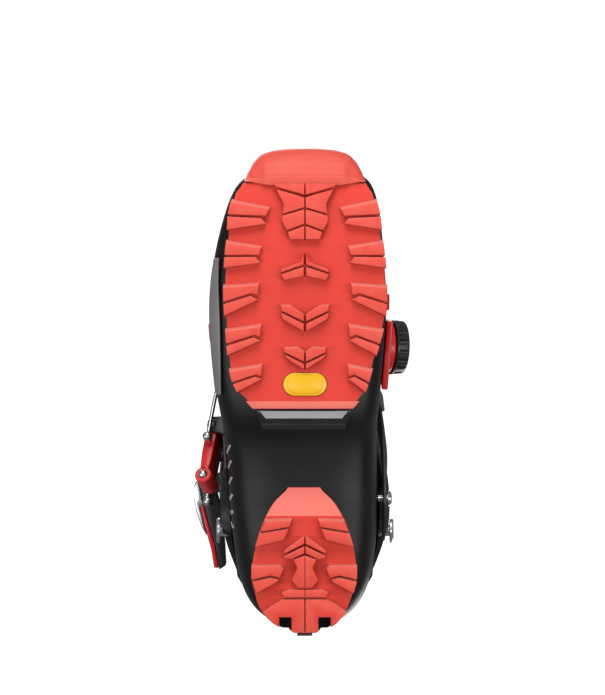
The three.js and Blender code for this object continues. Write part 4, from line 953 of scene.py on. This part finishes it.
class Hinge:
    """Axes at a hinge pin: e1 to the tail, e3 outwards, e2 along the pin."""

    def __init__(self, p, tail, out):
        self.p = p
        self.e1 = (tail - p).normalized()
        self.e3 = (out - self.e1 * out.dot(self.e1)).normalized()
        self.e2 = self.e1.cross(self.e3)

    def at(self, s, h, w):
        return self.p + self.e1 * s + self.e3 * h + self.e2 * w

    def block(self, outline, w0, w1, round_off=0.5, segments=2):
        return prism([self.at(s, h, w0) for s, h in outline], self.e2 * (w1 - w0), round_off, segments)

    def pin(self, s, reach):
        """Pin with a domed head at both ends, reaching that far to each side."""
        head = [(-0.6, 0), (-0.4, 1.2), (0, 2), (0.6, 2.6), (1.2, 2.9), (1.4, 2.9), (1.4, 1.5)]
        profile = head + [(2 * reach + 2.8 - d, w) for d, w in reversed(head)]
        return turned(self.at(s, 0, -reach - 1.4), self.e2, profile, 28)

    def ears(self, outline, inner, outer, round_off=0.4):
        """Two upright ears, one on each side of a lever."""
        return [self.block(outline, *sorted((s * inner, s * outer)), round_off) for s in (-1, 1)]

    def bail(self, route):
        """Wire from one eye on the bail's pin round the catch to the other."""
        eye = [(0, 1.8), (0, 2.7), (0.4, 3), (2.2, 3), (2.6, 2.7), (2.6, 1.8), (0, 1.8)]
        eyes = [turned(self.at(BAIL_PIN, 0, w - WIRE), self.e2, eye, 28) for w in (BAIL_SIDE, -BAIL_SIDE)]
        run = flowing([self.at(BAIL_PIN - 2.3, 0, BAIL_SIDE), *route(BAIL_SIDE), *reversed(route(-BAIL_SIDE)),
                       self.at(BAIL_PIN - 2.3, 0, -BAIL_SIDE)], 6)
        return joined(wire(run, WIRE, 12), *eyes)


def bail_route(surf, line, off, angles, hook_off, hook):
    """Course of one side of a bail at w from its middle, closing in over the hook's angles."""
    return lambda w: [on_line(surf, line, a, off, w) for a in angles] + [
        on_line(surf, line, a, hook_off, w * share) for a, share in zip(hook, (0.55, 0.2))]


HALF_LEVER = LEVER_WIDTH / 2
EAR = (HALF_LEVER + SLIP, HALF_LEVER + SLIP + 1.8)
BAIL_SIDE = EAR[1] + 3.2
WIRE = 1.3
BAIL_PIN = 11.0
TAIL_PIN = 35.0                         # from the hinge pin of the instep lever
MOUNT = (2.8, 2.0, 11.7)                # outer face, thickness and half width of a buckle's foot
LOBE_ROOM = 2.4                         # between the pivot lobes and the shell


def ear_outline(drop):
    return [(-6, -drop), (7, -drop), (5, 1), (2, 3.2), (-2, 3.2), (-5, 1)]


# ---- cuff
def cuff_wall():
    hems, rims = {}, {}

    def at(s, t, lift):
        deg = 22 + 316 * s
        key = round(s, 5)
        if key not in hems:
            hems[key] = level_at(cuff, deg, 0, lambda p: p.z - straight(CUFF_HEM, p.y), 0, 6)
            rims[key] = level_at(cuff, deg, 0, lambda p: p.z - straight(CUFF_RIM, p.y), 5, 9)
        return cuff(hems[key] + (rims[key] - hems[key]) * t, deg, lift)

    bm = thicken(sheet(at, 150, 72, 320, 180), CUFF_WALL, 1.1, 3)
    for v in bm.verts:
        near = eased((29 - math.hypot(v.co.y - PIVOT.y, v.co.z - PIVOT.z)) / 6)
        side = math.copysign(1, v.co.x)
        hit = shell_tree.ray_cast(Vector((side * 90, v.co.y, v.co.z)), Vector((-side, 0, 0)), 80)[0]
        if near and hit and abs(v.co.x) < cuff_side - 2:
            v.co.x += (hit.x + side * LOBE_ROOM - v.co.x) * near
    return bm


shell_side = abs(on_line(shell, (PIVOT.y, PIVOT.z, 1, 0, 12, 19), 90, 0, 0).x)
cuff_side = abs(on_line(cuff, (PIVOT.y, PIVOT.z, 1, 0, 0, 5), 90, 0, 0).x)
piece("cuff_wall", cuff_wall(), "cuff", *CUFF_BLACK, "cuff")
tongue = patch(cuff, 2.75, 8.2, lambda t: -44 + 6 * t, lambda t: 44 - 6 * t, -CUFF_WALL - SEAT,
               40, 48, 90, 130)
piece("cuff_tongue_cover", thicken(tongue, TONGUE_WALL, 0.6), "cuff", *CUFF_BLACK, "cuff_tongue")
reach = cuff_side - shell_side + SHELL_WALL
for side, s in (("lateral", -1), ("medial", 1)):
    bolt = turned(Vector((s * (shell_side - SHELL_WALL), PIVOT.y, PIVOT.z)), Vector((s, 0, 0)), [
        (0, 0), (0, 3.7), (reach + GAP, 3.7), (reach + GAP, 8.2), (reach + 1.6, 8.1), (reach + 2.5, 7.2),
        (reach + 2.6, 6.4), (reach + 2.6, 3.2), (reach + 2.1, 2.8), (reach + 1, 2.6), (reach + 1, 0)], 48)
    piece(f"pivot_bolt_head_{side}", bolt, "lower", *STEEL, f"pivot_bolt_{side}")

# ---- cuff buckle
cf = Hinge(Vector((-67.5, -38, 171)), Vector((-57, 18, 171)), Vector((-1, 0.2, 0)))
piece("cuff_buckle_mount", joined(strip(cuff, CUFF_LINE, -72, -101, *MOUNT, 24, 8),
                                  *cf.ears(ear_outline(11), *EAR)),
      "cuff", *BLACK, "cuff_buckle_base")
body = cf.block([(-5, -1), (-3, -4), (7, -7), (20, -7.6), (40, -6), (56, -4), (58, 1), (40, 0.6), (24, 2.4),
                 (12, 3.2), (-2, 3.2), (-5, 1.4)], -HALF_LEVER, HALF_LEVER, 0.7, 3)
piece("cuff_lever_body", body, "cuff_lever", *BLACK, "cuff_lever")
plate = cf.block([(14, 3.4), (24, 2.75), (40, 0.95), (57, 1.35), (56, 4.2), (44, 3.9), (30, 5), (14, 5.6)],
                 -HALF_LEVER + 0.6, HALF_LEVER - 0.6, 0.6, 3)
piece("cuff_lever_red_plate", plate, "cuff_lever", *RED, "cuff_lever_plate")
cap = cf.block([(-4, 3.5), (12, 3.5), (13.6, 3.4), (13.6, 6), (29, 5.4), (34, 5.1), (28, 7.4), (18, 9),
                (8, 9), (0, 7.6), (-4, 5.4)], -HALF_LEVER + 1.5, HALF_LEVER - 1.5, 0.8, 3)
piece("cuff_lever_metal_cap", cap, "cuff_lever", *STEEL, "cuff_lever_cap")
piece("cuff_lever_hinge_pin", cf.pin(0, EAR[1] + GAP), "cuff", *STEEL, "cuff_lever_pin")
piece("cuff_bail_hinge_pin", cf.pin(BAIL_PIN, BAIL_SIDE + WIRE + GAP), "cuff_lever", *STEEL,
      "cuff_bail_pin")
cuff_route = bail_route(cuff, CUFF_LINE, 7, (-84, -70, -54, -36, -18, 0), 7.2, (9, 11.5))
piece("cuff_bail_wire", cf.bail(cuff_route), "cuff_bail", *STEEL, "cuff_bail")
rack = [strip(cuff, CUFF_LINE, 2, 46, *MOUNT[:2], 7, 30, 4, 0.3)]
rack += [strip(cuff, CUFF_LINE, a, a + 2.2, 5.4, 4.4, 7, 4, 4, 0.3) for a in (14.5, 20, 25.5, 31)]
piece("cuff_rack", joined(*rack), "cuff", *STEEL, "cuff_ladder")

# ---- instep buckle
start = on_line(shell, INSTEP_LINE, -78, 8.5, 0)
nf = Hinge(start, start + Vector((-6, 32, -16.4)), Vector((-1, 0, 0.25)))
piece("instep_buckle_mount", joined(strip(shell, INSTEP_LINE, -68, -92, *MOUNT, 24, 8),
                                    *nf.ears(ear_outline(9), *EAR)),
      "lower", *BLACK, "instep_buckle_base")
arm = nf.block([(-5, -1), (-3, -3.2), (8, -3.6), (26, -3.4), (32, -2.6), (32, 2.6), (20, 3.6), (8, 3.8),
                (-2, 3.2), (-5, 1.4)], -HALF_LEVER, HALF_LEVER, 0.7, 3)
ring = turned(nf.at(TAIL_PIN, 0, -HALF_LEVER), nf.e2, [
    (0, 2), (0, 4.8), (0.7, 5.4), (LEVER_WIDTH - 0.7, 5.4), (LEVER_WIDTH, 4.8), (LEVER_WIDTH, 2), (0, 2)], 40)
piece("instep_lever_arm", joined(arm, ring), "instep_lever", *RED, "instep_lever")
piece("instep_lever_hinge_pin", nf.pin(0, EAR[1] + GAP), "lower", *STEEL, "instep_lever_pin")
piece("instep_bail_hinge_pin", nf.pin(BAIL_PIN, BAIL_SIDE + WIRE + GAP), "instep_lever", *STEEL,
      "instep_bail_pin")
piece("instep_tail_rivet", nf.pin(TAIL_PIN, HALF_LEVER + GAP), "instep_lever", *STEEL, "instep_tail_pin")
instep_route = bail_route(shell, INSTEP_LINE, 8, (-70, -60, -48, -34), 8.6, (-20, -17))
piece("instep_bail_wire", nf.bail(instep_route), "instep_bail", *STEEL, "instep_bail")
STRAP = (FLAP_OUT + 0.6, FLAP_OUT + 2.8)
strap = [strip(shell, INSTEP_LINE, -26, ANCHOR + 5.5, STRAP[1], 2.2, 10, 90, 8, 0.6)]
strap += [strip(shell, INSTEP_LINE, a, a + 2.6, STRAP[1] + 1.2, 1.7, 7, 4, 6, 0.3) for a in (-14, -8, -2)]
piece("instep_strap_band", joined(*strap), "lower", "strap_plastic", strap_plastic, "instep_strap")
root = on_line(shell, INSTEP_LINE, ANCHOR, 0, 0)
piece("strap_anchor_rivet", turned(root + Vector((0.5, 0, 0)), Vector((1, 0, 0)), [
    (0, 0), (0, 2), (STRAP[1] + 0.4, 2), (STRAP[1] + 0.4, 5), (STRAP[1] + 1.2, 4.9), (STRAP[1] + 2.2, 4.2),
    (STRAP[1] + 2.7, 2.6), (STRAP[1] + 2.7, 1.7), (STRAP[1] + 1.7, 1.5), (STRAP[1] + 1.7, 0)], 40),
    "lower", *STEEL, "strap_anchor_pin")

# ---- power strap
piece("power_strap_webbing", strip(cuff, TOP_LINE, -205, 138, 3, 2.2, 18, 150, 14, 0.7), "cuff", "strap",
      webbing, "power_strap")
rim = strip(cuff, TOP_LINE, 36, 62, 8, 4.4, 20, 24, 20, 0.9)
hole = strip(cuff, TOP_LINE, 44, 54, 12, 11, 13.5, 12, 10, 0)
piece("power_strap_frame", carved(rim, hole), "cuff", *BLACK, "power_strap_buckle")
piece("power_strap_end", strip(cuff, TOP_LINE, -60, 34, 5.2, 1.8, 17, 60, 14, 0.6), "cuff", "strap", webbing,
      "power_strap_tail")

# ---- walk mechanism
wf = Hinge(cuff(3.35, 180, 8.5), cuff(3.85, 180, 8.5), Vector((0, 1, 0.2)))
WALK = (55.0, 8.0)                      # reach and half width of the lever
CHEEK = (WALK[1] + SLIP, WALK[1] + SLIP + 2)
cheeks = wf.ears([(-6, -9), (8, -9), (5, 2), (2, 4), (-2, 4), (-5, 2)], *CHEEK, 0.5)
saddle = thicken(patch(cuff, 3, 5.4, 172, 188, 3.2, 14, 30, 16, 60), 2.4, 0.5)
piece("walk_lever_mount", joined(saddle, *cheeks), "cuff", *BLACK, "walk_housing")
handle = wf.block([(-4, -2.4), (-2, -4), (8, -4.2), (WALK[0] - 2, -4.6), (WALK[0], -3), (WALK[0], 0.5),
                   (40, 2), (10, 4), (-2, 3.6), (-4, 2)], -WALK[1], WALK[1], 0.9, 3)
piece("walk_lever_handle", handle, "walk_lever", *RED, "walk_lever")
piece("walk_lever_hinge_pin", wf.pin(0, CHEEK[1] + GAP), "cuff", *STEEL, "walk_lever_pin")
tip = cuff(1.75, 180, 3.2)
bf = Hinge(cuff(2.92, 180, 3.2), tip, Vector((0, 1, 0)))
reach = (tip - bf.p).length
blade = [(0, -1.6), (reach, -1.6), (reach + 3, 0), (reach, 1.6), (0, 1.6)]
piece("lock_bar_blade", bf.block(blade, -5, 5, 0.4), "cuff", *STEEL, "lock_bar")
catch = thicken(patch(shell, 15.3, 16.6, 169, 191, 2.4, 14, 14, 16, 30), 1.6, 0.4)
piece("lock_catch_plate", catch, "lower", *STEEL, "lock_plate")

# ---- lace and dial
LACE_OFF = FLAP_OUT + LACE_RADIUS + 0.9
TURNS = [
    (6.25, 46), (6.35, 0), (6.3, -46), (6.2, -58), (6.0, -61), (5.8, -58), (5.72, -46), (5.6, 0), (5.35, 46),
    (5.25, 58), (5.1, 61), (4.95, 58), (4.88, 46), (4.75, 0), (4.6, -46), (4.5, -56), (4.35, -59), (4.2, -56),
    (4.12, -46), (3.98, 0), (3.85, 30), (3.8, 44)]
stops = []
for (u0, a0), (u1, a1) in zip(TURNS, TURNS[1:]):
    n = max(1, round(abs(a1 - a0) / 7))
    stops += [shell(u0 + (u1 - u0) * k / n, a0 + (a1 - a0) * k / n, LACE_OFF) for k in range(n)]
piece("lace_run", wire(flowing(stops + [shell(*TURNS[-1], LACE_OFF)], 3), LACE_RADIUS, 10), "lower", "strap",
      lace_cord, "lace")
for name, u0, u1, a0, a1 in (("lateral_rear", 5.72, 6.28, -66, -53), ("medial", 4.86, 5.34, 53, 66),
                             ("lateral_front", 4.1, 4.6, -64, -51), ("anchor", 3.68, 3.92, 36, 50)):
    guide = thicken(patch(shell, u0, u1, a0, a1, LACE_OFF + LACE_RADIUS + 1.6, 10, 10, 14, 14),
                    LACE_OFF + LACE_RADIUS + 1.2, 0.9, 3)
    cad = "lace_anchor" if name == "anchor" else f"lace_guide_{name}"
    piece(f"{cad}_clip", guide, "lower", *RED, cad)

dial_axis = normal_at(shell, *DIAL)
BASE = 5.2


def dial_point(h):
    return shell(*DIAL) + dial_axis * h


foot = thicken(patch(shell, 5.55, 7.35, 56, 96, BASE - 0.8, 30, 36, 45, 55), BASE - 1.2, 1.2, 3)
hub = turned(dial_point(2), dial_axis, [(0, 0), (0, 17), (2.6, 17), (3.8, 16.4), (4.2, 15.6), (4.2, 0)], 64)
piece("dial_foot", joined(foot, hub), "lower", *RED, "dial_base")
knob = turned(dial_point(BASE + 1 + SLIP), dial_axis, [
    (0, 0), (0, 17), (0.5, 17.5), (7.2, 16.9), (8.4, 16.2), (8.6, 15), (8.6, 9), (8.2, 8.4), (7.2, 8.4),
    (7.2, 0)], 72)
GRIPS = 18
groove = [(0, 0), (0, 1.9), (9, 1.9), (9, 0)]
spoke = Vector((0, 0, 1)).cross(dial_axis).normalized()
spokes = [Matrix.Rotation(2 * math.pi * k / GRIPS, 4, dial_axis) @ spoke for k in range(GRIPS)]
grips = [turned(dial_point(BASE + 3) + out * 18.2, dial_axis, groove, 16) for out in spokes]
piece("dial_knob_grip", carved(knob, joined(*grips)), "dial", *BLACK, "dial_knob", sharp=30)
centre = turned(dial_point(BASE + 8.6 + GAP), dial_axis, [
    (0, 0), (0, 8), (1, 8), (1.6, 7.5), (1.7, 6.6), (1.4, 5.8), (1.4, 0)], 48)
piece("dial_centre_cap", centre, "dial", *STEEL, "dial_cap")


# ---- inner boot
BEND = (0.5, 0.62)                      # share of the inner boot's length where it turns up the leg


def liner_turn(t):
    return eased((t - BEND[0]) / (BEND[1] - BEND[0]))


def liner_surface(t, deg, off, top):
    """Inner boot from the toe over the ankle bend to the top of the leg."""
    leg = 3.2 + (top - 3.2) * max(0.0, t - BEND[1]) / (1 - BEND[1])
    if t >= BEND[1]:
        return cuff(leg, deg, CUFF_OUT + off)
    foot = shell(2 + 24 * t, deg, FOOT_OUT + off)
    return foot.lerp(cuff(leg, deg, CUFF_OUT + off), liner_turn(t))


def quilt(t, deg):
    """Puffed bands between the seams of the collar, and a seam up each side of the heel."""
    collar = abs(math.sin(math.pi * (t - 0.79) / 0.07)) ** 0.5 if t > 0.79 else 1.0
    side = min(1.0, abs(abs(deg - 180) - 52) / 3) ** 0.5 if t < 0.93 else 1.0
    return 0.9 * (collar * side - 1)


def inner_boot():
    tops = {}

    def angle(s, t):
        gap = 0.5 + 26.5 * eased((t - 0.46) / 0.14)
        return gap + (360 - 2 * gap) * s

    def rise(t):
        return 0.62 * t / 0.35 if t < 0.35 else 0.62 + 0.38 * (t - 0.35) / 0.65

    def face(s, t, depth):
        t = rise(t)
        deg = angle(s, t)
        key = round(s, 5)
        if key not in tops:
            tops[key] = level_at(cuff, angle(s, 1), CUFF_OUT,
                                 lambda p: p.z - straight(LINER_RIM, p.y), 5, 9.6)
        wall = FOOT_LINER + (CUFF_LINER - FOOT_LINER) * liner_turn(t)
        puff = quilt(t, deg)
        return liner_surface(t, deg, puff if depth == 0 else -wall - puff, tops[key])

    return lined(lambda s, t: face(s, t, 0), lambda s, t: face(s, t, 1), 110, 130, 2.2, 300, 470)


liner = piece("inner_boot", inner_boot(), None, "liner_foam", liner_cloth, "liner_foot", "liner_cuff",
              sharp=60)
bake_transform(liner)

tongue_top = [level_at(cuff, 0, CUFF_OUT, lambda p: p.z - z, 2, 12) for z in (158, 318)]


def tongue_face(s, t, lift):
    u = tongue_top[0] + (tongue_top[1] - tongue_top[0]) * t
    half = 25.6 - 3 * max(0.0, (t - 0.8) / 0.2) ** 2
    ribs = -0.8 * (1 - abs(math.sin(math.pi * t * 9)) ** 0.5)
    return cuff(u, -half + 2 * half * s, CUFF_OUT + ribs + lift)


soft_tongue = piece("inner_tongue", pillow(tongue_face, CUFF_LINER, 40, 130, 55, 170), "cuff", "liner_foam",
                    tongue_cloth, "liner_tongue", sharp=60)


def bed_face(s, t, lift):
    return shell(2.6 + 10.4 * t, 142.5 + 75 * s, FOOT_OUT - FOOT_LINER - 0.5 + lift)


bed = piece("inner_footbed", pillow(bed_face, 3, 36, 120, 80, 240, 0.04), "lower", "red_fabric", red_cloth,
            "footbed", sharp=60)

LOOP_PATH = [(170, -16), (170, 8), (180, 22), (190, 8), (190, -16)]
LOOP_OUT = CUFF_OUT - CUFF_LINER - 3.2  # just inside the collar, at its back
loop_run = flowing([cuff(8.3, a, LOOP_OUT) + Vector((0, 0, dz)) for a, dz in LOOP_PATH], 8)
piece("pull_loop_cord", wire(loop_run, 1.6, 12), "cuff", "red_fabric", red_cloth, "liner_pull_loop")


# ---- stage, light and view
def stage():
    bm = bmesh.new()
    bmesh.ops.create_grid(bm, x_segments=1, y_segments=1, size=3.0)
    floor = as_object(bm, "floor")
    material, tree, shader = blank("Pale floor")
    shader.inputs["Base Color"].default_value = (0.86, 0.86, 0.86, 1)
    shader.inputs["Roughness"].default_value = 0.9
    path = node(tree, "ShaderNodeLightPath")
    back = node(tree, "ShaderNodeNewGeometry").outputs["Backfacing"]
    front = calc(tree, "MULTIPLY", path.outputs["Is Camera Ray"], calc(tree, "SUBTRACT", 1.0, back))
    bounced = calc(tree, "MULTIPLY", path.outputs["Is Shadow Ray"], calc(
        tree, "GREATER_THAN", path.outputs["Diffuse Depth"], 0.5))
    seen = calc(tree, "MAXIMUM", front, bounced)
    clear = node(tree, "ShaderNodeBsdfTransparent")
    mix = node(tree, "ShaderNodeMixShader", {0: seen, 1: clear.outputs[0], 2: shader.outputs[0]})
    out = next(n for n in tree.nodes if n.type == "OUTPUT_MATERIAL")
    tree.links.new(mix.outputs[0], out.inputs["Surface"])
    floor.data.materials.append(material)

    world = bpy.data.worlds.new("Studio")
    world.use_nodes = True
    bpy.context.scene.world = world
    tree = world.node_tree
    background = next(n for n in tree.nodes if n.type == "BACKGROUND")
    background.inputs["Color"].default_value = (1, 1, 1, 1)
    path = node(tree, "ShaderNodeLightPath")
    strength = calc(tree, "ADD", calc(tree, "MULTIPLY", path.outputs["Is Camera Ray"], 1.0), 0.2)
    tree.links.new(strength, background.inputs["Strength"])
    bpy.context.scene.view_settings.view_transform = "Standard"

    def panel(name, place, aim, size, power):
        light = bpy.data.lights.new(name, "AREA")
        light.shape, light.size, light.size_y, light.energy = "RECTANGLE", *size, power
        obj = bpy.data.objects.new(name, light)
        obj.location = place
        obj.rotation_euler = (Vector(aim) - Vector(place)).to_track_quat("-Z", "Y").to_euler()
        bpy.context.collection.objects.link(obj)

    panel("under_key", (-0.1, -1.15, -0.82), (0, -0.1, 0.05), (0.9, 0.7), 9.8)
    panel("toe_fill", (0, -1.4, -0.3), (0, -0.1, 0.03), (0.8, 0.25), 4)
    panel("under_left", (-0.7, 0, -0.85), (0, -0.05, 0.05), (0.2, 1.2), 5)
    panel("under_right", (0.7, 0, -0.85), (0, -0.05, 0.05), (0.2, 1.2), 5)
    panel("over_key", (-0.2, -0.8, 1.5), (0, -0.1, 0.12), (0.9, 0.9), 10)
    panel("over_back", (0.7, 0.9, 1.4), (0, -0.1, 0.12), (0.9, 0.9), 9)

    lens = bpy.data.cameras.new("Camera")
    lens.lens = 127.4
    lens.clip_end = 20
    camera = bpy.data.objects.new("Camera", lens)
    camera.matrix_world = Matrix((
        (1, 0, 0, -0.0015), (0, -1, 0, -0.131), (0, 0, -1, -1.5), (0, 0, 0, 1)))
    bpy.context.collection.objects.link(camera)
    bpy.context.scene.camera = camera


stage()
